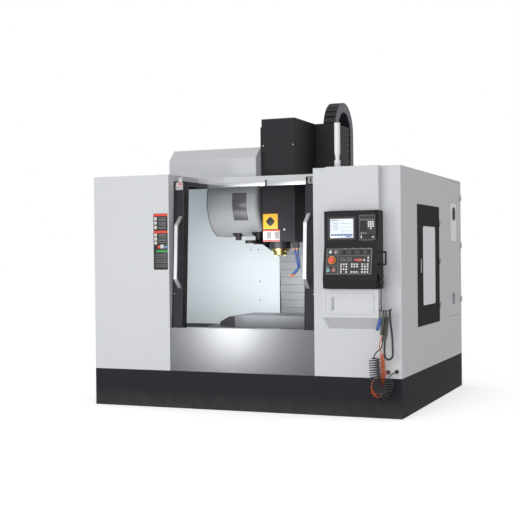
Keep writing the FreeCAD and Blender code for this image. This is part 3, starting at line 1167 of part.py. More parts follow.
def front_panel(side):
    """Front panel beside the doorway, with a return that follows the leaning door."""
    x_in = DOORWAY_L if side < 0 else DOORWAY_R
    x_out = side * HALF_W
    body = tray(min(x_in, x_out), max(x_in, x_out), FRONT, FRONT + HEM, SKIRT_HEIGHT, ENC_HEIGHT, "+y")
    profile = [(FRONT, SKIRT_HEIGHT), (FRONT, ENC_HEIGHT), (DOOR_HEAD_Y - PANEL_GAP, ENC_HEIGHT),
               (DOOR_HEAD_Y - PANEL_GAP, DOOR_TOP), (DOOR_FOOT_Y - PANEL_GAP, APRON_TOP),
               (DOOR_FOOT_Y - PANEL_GAP, SKIRT_HEIGHT)]
    x0 = x_in - SHEET if side < 0 else x_in
    return body.fuse(prism_x(profile, x0, x0 + SHEET))


def right_front_panel():
    """Front panel on the operator's side, with the raised box over the control station."""
    body = front_panel(1)
    low = PENDANT_TOP + STATION_RISE
    raised = box(STATION_LEFT, STATION_RIGHT, STATION_FRONT, FRONT, low, ENC_HEIGHT)
    hollow = box(STATION_LEFT + SHEET, STATION_RIGHT - SHEET, STATION_FRONT + SHEET, FRONT + HEM, low + SHEET,
                 ENC_HEIGHT - SHEET)
    return cut(fuse([body, raised]), [hollow])


def rebate(leaf, depth):
    """Seat for a side leaf: four walls into the machine and a lip that the leaf closes on."""
    outer = grown(leaf, PANEL_GAP + SHEET)
    x = HALF_W - depth
    walls = sheets_x(x, HALF_W - SHEET, outer, [grown(leaf, PANEL_GAP)])
    return walls + sheets_x(x - SHEET, x, outer, [grown(leaf, -SEAT_LIP)])


def side_panel(side, openings):
    """Skin of one side round its openings, with the hem folded in along its edges."""
    y0 = FRONT + HEM
    y1 = BACK - HEM
    skin_x = sorted((side * HALF_W, side * (HALF_W - SHEET)))
    hem_x = sorted((side * (HALF_W - SHEET), side * (HALF_W - HEM)))
    area = (y0, y1, SKIRT_HEIGHT, ENC_HEIGHT)
    return sheets_x(*skin_x, area, openings) + sheets_x(*hem_x, area, [grown(area, -SHEET)])


def rear_panel():
    """Rear skin with the hem folded forward along its edges."""
    area = (-HALF_W, HALF_W, SKIRT_HEIGHT, ENC_HEIGHT)
    skin = box(-HALF_W, HALF_W, BACK - SHEET, BACK, SKIRT_HEIGHT, ENC_HEIGHT)
    hem = [box(x0, x1, BACK - HEM, BACK - SHEET, z0, z1) for x0, x1, z0,
           z1 in strips(area, [grown(area, -SHEET)])]
    return [skin] + hem


def switch_cabinet():
    """Open-fronted sheet box behind the cabinet door."""
    x1 = HALF_W - CAB_DOOR_THICK - SHEET
    x0 = x1 - CAB_DEPTH
    inner = (CAB_FRONT_Y - PANEL_GAP, CAB_BACK_Y - HEM - SHEET, CAB_LOW - PANEL_GAP, CAB_HIGH + PANEL_GAP)
    outer = grown(inner, SHEET)
    return sheets_x(x0, x0 + SHEET, outer) + sheets_x(x0 + SHEET, x1, outer, [inner])


def roof_panels():
    """Roof sheets round the doorway, the head, the column and the magazine, with the doorway's lips."""
    chord = math.sqrt(DRUM_RADIUS ** 2 - (ROOF_UNDER - DRUM_Z) ** 2) + ROOF_GAP
    area = (-HALF_W + HEM, HALF_W - HEM, FRONT + HEM, BACK - HEM)
    inset = COVER_SHEET
    ways = [(DOORWAY_L - SHEET, DOORWAY_R + SHEET, FRONT, BEAM_FRONT + APRON_THICK),
            (HEAD_LEFT - ROOF_GAP, HEAD_RIGHT + ROOF_GAP, HEAD_FRONT_Y - ROOF_GAP,
             CCOVER_FRONT_Y + 3 * inset),
            (CCOVER_LEFT + inset, CCOVER_RIGHT - inset, CCOVER_FRONT_Y + inset, CCOVER_REAR_Y - inset),
            (DRUM_LEFT - ROOF_GAP, DRUM_RIGHT + inset, DRUM_Y - chord, DRUM_Y + chord)]
    sheets = [box(*rect, ROOF_UNDER, ENC_HEIGHT) for rect in strips(area, ways)]
    for x in (DOORWAY_L - 2 * SHEET, DOORWAY_R + SHEET):
        sheets.append(box(x, x + SHEET, DOOR_HEAD_Y - PANEL_GAP, BEAM_FRONT, DOOR_TOP + PANEL_GAP,
                          ROOF_UNDER))
    return sheets


def enclosure_panels():
    """Left side, right side with the seats of its two leaves, switch cabinet, rear and roof."""
    door = (SIDE_DOOR_FRONT, SIDE_DOOR_BACK, SIDE_DOOR_LOW, SIDE_DOOR_HIGH)
    hatch = (CAB_FRONT_Y, CAB_BACK_Y, CAB_LOW, CAB_HIGH)
    right = side_panel(1, [grown(door, PANEL_GAP), grown(hatch, PANEL_GAP)])
    seats = rebate(door, SIDE_DOOR_THICK - SIDE_DOOR_PROUD) + rebate(hatch, CAB_DOOR_THICK)
    pins = [leaf_hinge(HALF_W + HINGE_PROUD, SIDE_DOOR_BACK + PANEL_GAP / 2, z)[0] for z in side_hinges()]
    pins += [leaf_hinge(HALF_W + HINGE_PROUD, CAB_BACK_Y + PANEL_GAP / 2, z)[0] for z in cabinet_hinges()]
    return group(side_panel(-1, []) + right + seats + pins + switch_cabinet() + rear_panel() + roof_panels())


def front_apron():
    """Sheet below the doors with a sill, and the rail the doors run on."""
    face = box(DOORWAY_L, DOORWAY_R, FRONT, FRONT + APRON_THICK, SKIRT_HEIGHT, APRON_TOP)
    sill = box(DOORWAY_L, DOORWAY_R, FRONT, DOOR_FOOT_Y, APRON_TOP - APRON_THICK, APRON_TOP)
    x0 = -HALF_W + SHEET
    rail = box(x0, -x0, DOOR_FOOT_Y, DOOR_FOOT_Y + DOOR_DEPTH, APRON_TOP - RAIL_TUBE, APRON_TOP)
    bore = box(x0 - 1, 1 - x0, DOOR_FOOT_Y + APRON_THICK, DOOR_FOOT_Y + DOOR_DEPTH - APRON_THICK,
               APRON_TOP - RAIL_TUBE + APRON_THICK, APRON_TOP - APRON_THICK)
    return fuse([face, sill, rail.cut(bore)])


def door_beam():
    """Cross beam behind the doors' tops, with its groove, light strip and end flanges."""
    x0 = -HALF_W + SHEET
    body = box(x0, -x0, BEAM_FRONT, BEAM_BACK, BEAM_FOOT, ROOF_UNDER)
    front = box(DOORWAY_L, DOORWAY_R, BEAM_FRONT, BEAM_BACK, ROOF_UNDER, ENC_HEIGHT)
    bore = box(x0 - 1, 1 - x0, BEAM_FRONT + APRON_THICK, BEAM_BACK - APRON_THICK, BEAM_FOOT + APRON_THICK,
               ROOF_UNDER - APRON_THICK)
    z = ENC_HEIGHT - BEAM_GROOVE_DROP
    groove = box(x0 - 1, 1 - x0, BEAM_FRONT - 1, BEAM_FRONT + 1.5, z - BEAM_GROOVE / 2, z + BEAM_GROOVE / 2)
    return cut(fuse([body, front.cut(box(x0, -x0, BEAM_FRONT + APRON_THICK, BEAM_BACK + 1, ROOF_UNDER - 1,
                                         ENC_HEIGHT + 1))]), [bore, groove])


def guard_walls(side):
    """Side guard, its hopper slope, the wing that closes the front corner and the foot of the back wall."""
    s = SHEET
    x = GUARD_SIDE_X
    foot = HOPPER_HALF_X
    wall = box(x, x + s, GUARD_FRONT_Y, GUARD_BACK_Y + s, GUARD_FOOT, GUARD_TOP)
    slope = prism_y([(x, GUARD_FOOT), (x + s, GUARD_FOOT), (foot + s, SKIRT_HEIGHT), (foot, SKIRT_HEIGHT)],
                    HOPPER_FRONT_Y, GUARD_BACK_Y + s)
    wing = box(x + s, HALF_W - s, GUARD_FRONT_Y, GUARD_FRONT_Y + s, GUARD_FOOT, GUARD_TOP)
    root = BED_HALF_X + s
    back = prism_y([(x, GUARD_FOOT), (root, GUARD_FOOT), (root, SKIRT_HEIGHT), (foot, SKIRT_HEIGHT)],
                   GUARD_BACK_Y, GUARD_BACK_Y + s)
    walls = [wall, slope, wing, back]
    return walls if side > 0 else [mirror_x(wall) for wall in walls]


def interior_linings():
    """Guards round the work zone, the sloped chip pan, fixed cover plates and the fixed leaf of the Z cover."""
    s = SHEET
    x = GUARD_SIDE_X
    inner = Z_COVER_HALF_X + Z_COVER_FLANGE
    back = (GUARD_BACK_Y, GUARD_BACK_Y + s)
    notch = [(BACK_WALL_CUT_X, GUARD_FOOT), (-inner, GUARD_FOOT), (-inner, BACK_WALL_LOW),
             (BACK_WALL_CUT_X, BACK_WALL_CUT_Z)]
    walls = guard_walls(-1) + guard_walls(1)
    walls.append(box(-x, BACK_WALL_CUT_X, *back, GUARD_FOOT, GUARD_TOP))
    walls.append(prism_y(notch, *back))
    walls.append(box(inner, x, *back, GUARD_FOOT, GUARD_TOP))
    rim = x + s
    foot = HOPPER_HALF_X + s
    walls.append(prism_y([(-rim, GUARD_FOOT), (rim, GUARD_FOOT), (foot, SKIRT_HEIGHT), (-foot, SKIRT_HEIGHT)],
                         HOPPER_FRONT_Y - s, HOPPER_FRONT_Y))
    walls.append(box(-x, x, DOOR_FOOT_Y + DOOR_DEPTH, HOPPER_FRONT_Y - s, GUARD_FOOT - s, GUARD_FOOT))
    leaf = z_cover(2, z_cover_foot(2), z_cover_foot(2) + Z_COVER_LENGTH)
    y0 = Z_COVER_FRONT_Y + 2 * Z_COVER_STEP
    bracket = box(-60, 60, y0, COLUMN_FRONT_Y, GUARD_FOOT, GUARD_FOOT + 2 * s)
    return group(walls + [fuse([leaf, bracket])])


def z_cover_slider():
    """Middle leaf of the Z cover with a glide strip on each face."""
    z0 = z_cover_foot(1)
    y0 = Z_COVER_FRONT_Y + Z_COVER_STEP
    half = Z_COVER_HALF_X - 3 * Z_COVER_STEP
    upper = box(-half, half, y0 - Z_COVER_STEP + 1.5, y0, z0 + Z_COVER_LENGTH - 20, z0 + Z_COVER_LENGTH)
    lower = box(-half, half, y0 + 1.5, y0 + Z_COVER_STEP, z0, z0 + 20)
    return fuse([z_cover(1, z0, z0 + Z_COVER_LENGTH), upper, lower])


# ---- sliding doors --------------------------------------------------------------------------------------
def door_edges(side):
    """X of a door's closing edge and of its far edge, at rest."""
    near = DOORWAY_L + DOOR_SHOW if side < 0 else DOORWAY_R - DOOR_SHOW
    return near, near + side * DOOR_WIDTH


def door_profile(inset):
    """Section of the wrap-over leaf between its outer face and a face set in by inset."""
    top = DOOR_TOP
    end = BEAM_FRONT - DOOR_ROOF_GAP
    return [(DOOR_FOOT_Y, APRON_TOP), (DOOR_HEAD_Y, top), (end, top), (end, top - inset),
            (DOOR_HEAD_Y + inset, top - inset), (DOOR_FOOT_Y + inset, APRON_TOP)]


def sliding_door(side):
    """Wrap-over leaf: a skin, deep edge channels, a window opening, a grab handle and its end stop."""
    near, far = door_edges(side)
    x0 = min(near, far)
    x1 = max(near, far)
    skin = prism_x(door_profile(COVER_SHEET), x0, x1)
    end = BEAM_FRONT - DOOR_ROOF_GAP
    cheek = [(DOOR_FOOT_Y, APRON_TOP), (DOOR_HEAD_Y, DOOR_TOP), (end, DOOR_TOP),
             (end, DOOR_TOP - DOOR_ROOF_RAIL),
             (DOOR_HEAD_Y + DOOR_DEPTH, DOOR_TOP - DOOR_ROOF_RAIL), (DOOR_FOOT_Y + DOOR_DEPTH, APRON_TOP)]
    edges = [prism_x(cheek, x0, x0 + COVER_SHEET), prism_x(cheek, x1 - COVER_SHEET, x1)]
    foot = box(x0, x1, DOOR_FOOT_Y, DOOR_FOOT_Y + DOOR_DEPTH, APRON_TOP, APRON_TOP + COVER_SHEET)
    rear = box(x0, x1, end - COVER_SHEET, end, DOOR_TOP - DOOR_ROOF_RAIL, DOOR_TOP)
    win = box(x0 + DOOR_STILE, x1 - DOOR_STILE, DOOR_FOOT_Y - 50, DOOR_HEAD_Y + 50, APRON_TOP + DOOR_RAIL,
              DOOR_TOP - DOOR_RAIL)
    body = fuse([cut(skin, [win]), foot, rear] + edges)
    return group([body, door_handle(near + side * HANDLE_INSET)])


def door_handle(x):
    """Flat bow handle whose feet stand square on the leaning leaf."""
    half = HANDLE_WIDTH / 2
    t = HANDLE_THICK
    lo = HANDLE_LOW
    hi = HANDLE_HIGH
    low_in = lo + HANDLE_BEND
    high_in = hi - HANDLE_BEND
    out_lo = door_face(low_in) - HANDLE_REACH
    out_hi = door_face(high_in) - HANDLE_REACH
    profile = [(door_face(lo), lo), (out_lo, low_in), (out_hi, high_in), (door_face(hi), hi),
               (door_face(hi - 2 * t), hi - 2 * t), (out_hi + t, high_in - t / 2), (out_lo + t,
                                                                                    low_in + t / 2),
               (door_face(lo + 2 * t), lo + 2 * t)]
    return prism_x(profile, x - half, x + half)


def door_pane(side):
    """Window that lies against the back of the leaf's skin."""
    near, far = door_edges(side)
    x0 = min(near, far) + DOOR_STILE - PANE_LAP
    x1 = max(near, far) - DOOR_STILE + PANE_LAP
    z0 = APRON_TOP + DOOR_RAIL - PANE_LAP
    z1 = DOOR_TOP - DOOR_RAIL + PANE_LAP
    a = skin_back(z0)
    b = skin_back(z1)
    return prism_x([(a, z0), (b, z1), (b + PANE_THICK, z1), (a + PANE_THICK, z0)], x0, x1)


def skin_back(z):
    """Y of the inner face of the leaf's skin at height z."""
    run = DOOR_TOP - COVER_SHEET - APRON_TOP
    return DOOR_FOOT_Y + COVER_SHEET + (z - APRON_TOP) / run * (DOOR_HEAD_Y - DOOR_FOOT_Y)


# ---- hinged leaves --------------------------------------------------------------------------------------
def leaf_hinge(x, y, z):
    """Upright lift-off hinge: the frame's pin with its knuckle, and the leaf's knuckle above it."""
    h = HINGE_HEIGHT
    pin = cyl(HINGE_PIN, 2 * h, (x, y, z), (0, 0, 1))
    low = cyl(HINGE_RADIUS, h, (x, y, z), (0, 0, 1))
    tab = box(x - HINGE_PROUD, x, y, y + HINGE_RADIUS, z, z + h)
    frame = fuse([pin, low, tab])
    high = cyl(HINGE_RADIUS, h, (x, y, z + h), (0, 0, 1))
    wing_leaf = box(x - HINGE_PROUD - 3, x, y - HINGE_RADIUS, y, z + h, z + 2 * h)
    bore = cyl(HINGE_PIN + SCREW_FIT, 3 * h, (x, y, z), (0, 0, 1))
    return frame, fuse([high, wing_leaf]).cut(bore)


def side_hinges():
    """Heights of the side door's hinges."""
    return [SIDE_DOOR_LOW + 120, (SIDE_DOOR_LOW + SIDE_DOOR_HIGH) / 2, SIDE_DOOR_HIGH - 180]


def cabinet_hinges():
    """Heights of the cabinet door's hinges."""
    return [CAB_LOW + 120, (CAB_LOW + CAB_HIGH) / 2, CAB_HIGH - 180]


def side_door():
    """Framed service door with a rounded window opening and a flush bar handle."""
    x0 = HALF_W + SIDE_DOOR_PROUD - SIDE_DOOR_THICK
    x1 = HALF_W + SIDE_DOOR_PROUD
    body = tray(x0, x1, SIDE_DOOR_FRONT, SIDE_DOOR_BACK, SIDE_DOOR_LOW, SIDE_DOOR_HIGH, "-x")
    hole = box(x0 - 1, x1 + 1, SIDE_PANE_FRONT, SIDE_PANE_BACK, SIDE_PANE_LOW, SIDE_PANE_HIGH)
    hole = hole.makeFillet(SIDE_PANE_ROUND, [e for e in hole.Edges if abs(e.Length - (x1 - x0 + 2)) < 0.01])
    z0 = (SIDE_PANE_LOW + SIDE_PANE_HIGH) / 2 - SIDE_GRIP / 2
    y0 = (SIDE_DOOR_FRONT + SIDE_PANE_FRONT) / 2
    bar = box(x1, x1 + SIDE_GRIP_PROUD, y0 - 12, y0 + 12, z0, z0 + SIDE_GRIP)
    knuckles = [leaf_hinge(HALF_W + HINGE_PROUD, SIDE_DOOR_BACK + PANEL_GAP / 2, z)[1] for z in side_hinges()]
    return fuse([body.cut(hole), bar] + knuckles)


def side_door_pane():
    """Window pane behind the side door's skin."""
    x1 = HALF_W + SIDE_DOOR_PROUD - SHEET
    return box(x1 - PANE_THICK, x1, SIDE_PANE_FRONT - PANE_LAP, SIDE_PANE_BACK + PANE_LAP,
               SIDE_PANE_LOW - PANE_LAP,
               SIDE_PANE_HIGH + PANE_LAP)


def cabinet_door():
    """Electrical cabinet's leaf with its raised air filter."""
    x0 = HALF_W - CAB_DOOR_THICK
    body = tray(x0, HALF_W, CAB_FRONT_Y, CAB_BACK_Y, CAB_LOW, CAB_HIGH, "-x")
    plate = box(HALF_W, HALF_W + FILTER_PROUD, FILTER_FRONT, FILTER_BACK, FILTER_LOW, FILTER_HIGH)
    slots = []
    for i in range(FILTER_SLOTS):
        z = FILTER_HIGH - 50 - i * 24
        slots.append(box(HALF_W + FILTER_PROUD / 2, HALF_W + FILTER_PROUD + 1, FILTER_FRONT + 30,
                         FILTER_BACK - 30,
                         z - 12, z))
    knuckles = [leaf_hinge(HALF_W + HINGE_PROUD, CAB_BACK_Y + PANEL_GAP / 2, z)[1] for z in cabinet_hinges()]
    spindle = cyl(LATCH_BOSS + SCREW_FIT, 200, (HALF_W - 100, LATCH_Y, LATCH_Z), (1, 0, 0))
    return cut(fuse([body, plate] + knuckles), slots + [spindle])


def cabinet_latch():
    """Turn handle on the cabinet door with the cam behind it."""
    boss = cyl(LATCH_BOSS, 20, (HALF_W - 12, LATCH_Y, LATCH_Z), (1, 0, 0))
    bar = box(HALF_W + 1, HALF_W + 14, LATCH_Y - 13, LATCH_Y + 13, LATCH_Z - LATCH_LENGTH + 14, LATCH_Z + 14)
    cam = box(HALF_W - 16, HALF_W - 12, LATCH_Y - 12, LATCH_Y + 12, LATCH_Z - 30, LATCH_Z + 14)
    return fuse([boss, bar, cam])


# ---- operator station -----------------------------------------------------------------------------------
def pendant_profile(inset):
    """Section of the control pendant: upright screen face, leaning key face and a lip below it."""
    y = PENDANT_FRONT + inset
    lip = PENDANT_LIP_Y + inset
    return [(FRONT, PENDANT_TOP - inset), (y, PENDANT_TOP - inset), (y, PENDANT_KNEE), (lip, PENDANT_LIP_TOP),
            (lip + 8, PENDANT_FOOT + inset), (FRONT, PENDANT_FOOT + inset)]


def pendant_housing():
    """Pendant shell with its rounded outer edge and the tube handle at its side."""
    outer = prism_x(pendant_profile(0), PENDANT_LEFT, PENDANT_RIGHT)
    edge = [e for e in outer.Edges if e.BoundBox.XMin > PENDANT_RIGHT - 0.01
            and abs(e.BoundBox.YMin - PENDANT_FRONT) < 0.01 and abs(e.BoundBox.YMax - PENDANT_FRONT) < 0.01]
    outer = outer.makeFillet(PENDANT_ROUND, edge)
    inner = prism_x(pendant_profile(BOX_SHELL), PENDANT_LEFT + BOX_SHELL, PENDANT_RIGHT - PENDANT_ROUND - 2)
    inner = inner.cut(box(PENDANT_LEFT, PENDANT_RIGHT, FRONT - BOX_SHELL, FRONT, PENDANT_FOOT, PENDANT_TOP))
    hole = box(SCREEN_X - BEZEL_WIDTH / 2 + 8, SCREEN_X + BEZEL_WIDTH / 2 - 8, PENDANT_FRONT - 1,
               PENDANT_FRONT + 20,
               SCREEN_Z - BEZEL_HEIGHT / 2 + 8, SCREEN_Z + BEZEL_HEIGHT / 2 - 8)
    shell = outer.cut([inner, hole] + control_wells())
    y = (PENDANT_FRONT + FRONT) / 2 - GRIP_FORWARD
    r = GRIP_TUBE / 2
    x0 = PENDANT_RIGHT
    x1 = x0 + GRIP_OUT - r
    root = x0 - PENDANT_ROUND - 1
    arms = [cyl(r, x1 - root, (root, y, z), (1, 0, 0)) for z in (GRIP_LOW + r, GRIP_HIGH - r)]
    arms += [Part.makeSphere(r, Vector(x1, y, z)) for z in (GRIP_LOW + r, GRIP_HIGH - r)]
    bar = cyl(r, GRIP_HIGH - GRIP_LOW - GRIP_TUBE, (x1, y, GRIP_LOW + r), (0, 0, 1))
    return fuse([shell, bar] + arms)


def screen_unit():
    """Screen bezel set in the pendant's face, with the screen behind it."""
    y0 = PENDANT_FRONT - BEZEL_THICK / 2
    hw = BEZEL_WIDTH / 2
    hh = BEZEL_HEIGHT / 2
    bezel = box(SCREEN_X - hw, SCREEN_X + hw, y0 - BEZEL_THICK / 2, PENDANT_FRONT, SCREEN_Z - hh,
                SCREEN_Z + hh)
    mouth = box(SCREEN_X - SCREEN_WIDTH / 2, SCREEN_X + SCREEN_WIDTH / 2, PENDANT_FRONT - BEZEL_THICK - 1,
                PENDANT_FRONT + 1, SCREEN_Z - SCREEN_HEIGHT / 2, SCREEN_Z + SCREEN_HEIGHT / 2)
    glass = box(SCREEN_X - hw + 9, SCREEN_X + hw - 9, PENDANT_FRONT, PENDANT_FRONT + 8, SCREEN_Z - hh + 9,
                SCREEN_Z + hh - 9)
    return group([bezel.cut(mouth), glass])


def slope_frame():
    """Placement of the key face: x across, y up the slope, z out of the face, origin at the knee."""
    run = Vector(0, PENDANT_FRONT - PENDANT_LIP_Y, PENDANT_KNEE - PENDANT_LIP_TOP)
    run.normalize()
    across = Vector(1, 0, 0)
    out = across.cross(run)
    turn = FreeCAD.Rotation(across, run, out, "ZXY")
    return FreeCAD.Placement(Vector(0, PENDANT_FRONT, PENDANT_KNEE), turn)


def on_slope(shape):
    """Shape drawn in the key face's own frame, set in place."""
    placed = shape.copy()
    placed.Placement = slope_frame().multiply(placed.Placement)
    return placed


def slope_y(z):
    """Distance along the key face for a height z."""
    lean = math.hypot(PENDANT_LIP_Y - PENDANT_FRONT, PENDANT_KNEE - PENDANT_LIP_TOP)
    return (z - PENDANT_KNEE) * lean / (PENDANT_KNEE - PENDANT_LIP_TOP)


def control_panels():
    """Key pad beside the screen and the operator plate on the leaning face, with their keys."""
    y1 = PENDANT_FRONT
    pad = box(KEYPAD_LEFT, KEYPAD_RIGHT, y1 - 3, y1, KEYPAD_LOW, KEYPAD_HIGH)
    keys = []
    for row in range(PAD_ROWS):
        for col in range(PAD_COLS):
            x = KEYPAD_LEFT + 20 + col * 15
            z = KEYPAD_HIGH - 26 - row * 18
            keys.append(box(x, x + 10, y1 - 5, y1 - 3, z - 10, z))
    top = -PLATE_TOP_DROP
    plate = box(PLATE_LEFT, PLATE_RIGHT, top - PLATE_HEIGHT, top, 0, PLATE_THICK)
    caps = []
    for x0 in KEY_COLUMNS:
        for col in range(3):
            for z in KEY_ROWS:
                x = x0 + col * KEY_PITCH
                y = slope_y(z)
                caps.append(box(x - KEY_SIDE / 2, x + KEY_SIDE / 2, y - KEY_SIDE / 2, y + KEY_SIDE / 2,
                                PLATE_THICK, PLATE_THICK + KEY_RISE))
    lower = on_slope(fuse([plate] + caps)).cut(control_wells())
    return group([fuse([pad] + keys), lower])


def control_places():
    """X, height and radius of every turning or pressing control on the operator plate."""
    places = [(x, z, BUTTON_RADIUS) for x, z in BUTTON_PLACES]
    places += [(x, KNOB_Z, KNOB_RADIUS) for x in KNOB_X]
    return places + [(ESTOP_X, ESTOP_Z, ESTOP_RADIUS)]


def control_wells():
    """Clearance holes for the controls' stems, through the operator plate and the pendant's wall."""
    wells = []
    for x, z, radius in control_places():
        low = PLATE_THICK - STEM_DEPTH - ESTOP_TRAVEL - 2
        wells.append(on_slope(cyl(radius * STEM_SHARE + SMALL_CLEAR, PLATE_THICK + 1 - low,
                                  (x, slope_y(z), low),
                                  (0, 0, 1))))
    return wells


def stem(x, z, radius):
    """Stem that runs in the operator plate's well."""
    return cyl(radius * STEM_SHARE, STEM_DEPTH + 1, (x, slope_y(z), PLATE_THICK - STEM_DEPTH + 0.5),
               (0, 0, 1))


def push_button(x, z):
    """Round push button standing off the plate by its travel."""
    y = slope_y(z)
    gap = BUTTON_TRAVEL + SMALL_CLEAR
    cap = cyl(BUTTON_RADIUS, BUTTON_RISE - gap, (x, y, PLATE_THICK + gap), (0, 0, 1))
    link = cyl(BUTTON_RADIUS * STEM_SHARE, gap + 1, (x, y, PLATE_THICK), (0, 0, 1))
    return on_slope(fuse([cap, link, stem(x, z, BUTTON_RADIUS)]))


def emergency_stop():
    """Mushroom button on a short stem."""
    y = slope_y(ESTOP_Z)
    gap = ESTOP_TRAVEL + SMALL_CLEAR
    cap = cyl(ESTOP_RADIUS, 14, (ESTOP_X, y, PLATE_THICK + gap), (0, 0, 1))
    top = [e for e in cap.Edges if e.BoundBox.ZMin > PLATE_THICK + gap + 13]
    cap = cap.makeFillet(5, top)
    link = cyl(ESTOP_RADIUS * STEM_SHARE, gap + 1, (ESTOP_X, y, PLATE_THICK), (0, 0, 1))
    return on_slope(fuse([cap, link, stem(ESTOP_X, ESTOP_Z, ESTOP_RADIUS)]))


def selector_knob(x):
    """Faceted rotary knob with a pointer bar across its face."""
    y = slope_y(KNOB_Z)
    ring = []
    for k in range(KNOB_SIDES):
        angle = 2 * math.pi * k / KNOB_SIDES
        ring.append((x + KNOB_RADIUS * math.cos(angle), y + KNOB_RADIUS * math.sin(angle)))
    base = PLATE_THICK + SMALL_CLEAR
    body = prism_z(ring, base, base + KNOB_RISE * 0.7)
    bar = box(x - 4, x + 4, y - KNOB_RADIUS * 0.9, y + KNOB_RADIUS * 0.9, base, base + KNOB_RISE)
    return on_slope(fuse([body, bar, stem(x, KNOB_Z, KNOB_RADIUS)]))


def tool_box():
    """Hanging sheet box with a sloped underside and a framed door opening."""
    side = [(FRONT, BOX_TOP), (BOX_FRONT, BOX_TOP), (BOX_FRONT, BOX_FOOT), (FRONT, BOX_HEEL)]
    outer = prism_x(side, BOX_LEFT, BOX_RIGHT)
    s = BOX_SHELL
    drop = s * 1.4
    inner_side = [(FRONT - s, BOX_TOP - s), (BOX_FRONT + s, BOX_TOP - s), (BOX_FRONT + s, BOX_FOOT + drop),
                  (FRONT - s, BOX_HEEL + drop)]
    inner = prism_x(inner_side, BOX_LEFT + s, BOX_RIGHT - s)
    g = BOX_LID_GAP
    mouth = box(BOX_LID_LEFT - g, BOX_LID_RIGHT + g, BOX_FRONT - 1, BOX_FRONT + s + 1, BOX_LID_LOW - g,
                BOX_LID_HIGH + g)
    seat = box(BOX_LID_LEFT - g - s, BOX_LID_RIGHT + g + s, BOX_FRONT + s, BOX_FRONT + LID_THICK + s,
               BOX_LID_LOW - g - s, BOX_LID_HIGH + g + s)
    way = box(BOX_LID_LEFT - g, BOX_LID_RIGHT + g, BOX_FRONT - 1, BOX_FRONT + LID_THICK, BOX_LID_LOW - g,
              BOX_LID_HIGH + g)
    hole = box(BOX_LID_LEFT + 15, BOX_LID_RIGHT - 15, BOX_FRONT, BOX_FRONT + LID_THICK + 2 * s,
               BOX_LID_LOW + 15,
               BOX_LID_HIGH - 15)
    pins = [box_hinge(z)[0] for z in box_hinges()]
    return fuse([outer.cut([inner, mouth]), seat.cut([way, hole])] + pins)


def box_hinges():
    """Heights of the tool box door's hinges."""
    return [BOX_LID_LOW + 20, BOX_LID_HIGH - 20 - 2 * BOX_KNUCKLE]


def box_hinge(z):
    """Small hinge in front of the tool box door's right edge."""
    x = BOX_LID_RIGHT + BOX_LID_GAP / 2
    y = BOX_FRONT - BOX_KNUCKLE_R
    h = BOX_KNUCKLE
    pin = cyl(BOX_PIN, 2 * h, (x, y, z), (0, 0, 1))
    low = cyl(BOX_KNUCKLE_R, h, (x, y, z), (0, 0, 1))
    tab = box(x + BOX_LID_GAP, x + BOX_KNUCKLE_R + 4, y, BOX_FRONT, z, z + h)
    bridge = box(x, x + BOX_KNUCKLE_R + 4, y, y + 2, z, z + h)
    high = cyl(BOX_KNUCKLE_R, h, (x, y, z + h), (0, 0, 1))
    leaf_tab = box(x - BOX_KNUCKLE_R - 6, x, y, y + 2, z + h, z + 2 * h)
    leaf_foot = box(x - BOX_KNUCKLE_R - 6, x - BOX_LID_GAP, y, BOX_FRONT + 1, z + h, z + 2 * h)
    bore = cyl(BOX_PIN + SCREW_FIT, 3 * h, (x, y, z), (0, 0, 1))
    return fuse([pin, low, tab, bridge]), fuse([high, leaf_tab, leaf_foot]).cut(bore)


def tool_box_door():
    """Tray-shaped door of the tool box with a bore for its latch."""
    body = tray(BOX_LID_LEFT, BOX_LID_RIGHT, BOX_FRONT, BOX_FRONT + LID_THICK, BOX_LID_LOW, BOX_LID_HIGH,
                "+y")
    bore = cyl(BOX_LATCH_BOSS + SCREW_FIT, 60, (BOX_LATCH_X, BOX_FRONT - 30, BOX_LATCH_Z), (0, 1, 0))
    return fuse([body.cut(bore)] + [box_hinge(z)[1] for z in box_hinges()])


def tool_box_latch():
    """Long turn latch on the tool box door."""
    y = BOX_FRONT
    bar = box(BOX_LATCH_X - 9, BOX_LATCH_X + 9, y - 13, y - 1, BOX_LATCH_Z - BOX_LATCH_LENGTH / 2,
              BOX_LATCH_Z + BOX_LATCH_LENGTH / 2)
    boss = cyl(BOX_LATCH_BOSS, 10, (BOX_LATCH_X, y - 2, BOX_LATCH_Z), (0, 1, 0))
    cam = box(BOX_LATCH_X - 9, BOX_LATCH_X + 9, y + 6, y + 9, BOX_LATCH_Z - 22, BOX_LATCH_Z + 12)
    return fuse([bar, boss, cam])


def signal_lamp():
    """Beacon on a stem: dark base, clear body and dark cap."""
    up = (0, 0, 1)
    z = ENC_HEIGHT
    base = cyl(LAMP_RADIUS + LAMP_RIM, LAMP_BASE, (LAMP_X, LAMP_Y, z), up)
    z += LAMP_BASE
    neck_radius = LAMP_RADIUS * LAMP_NECK_SHARE
    neck = cyl(neck_radius, LAMP_NECK, (LAMP_X, LAMP_Y, z), up)
    z += LAMP_NECK
    flare = Part.makeCone(neck_radius, LAMP_RADIUS, LAMP_FLARE, Vector(LAMP_X, LAMP_Y, z), Vector(*up))
    z += LAMP_FLARE
    body = cyl(LAMP_RADIUS, LAMP_LENS, (LAMP_X, LAMP_Y, z), up)
    cap = cyl(LAMP_RADIUS + LAMP_RIM, LAMP_CAP, (LAMP_X, LAMP_Y, z + LAMP_LENS), up)
    return fuse([base, neck, flare, body, cap])


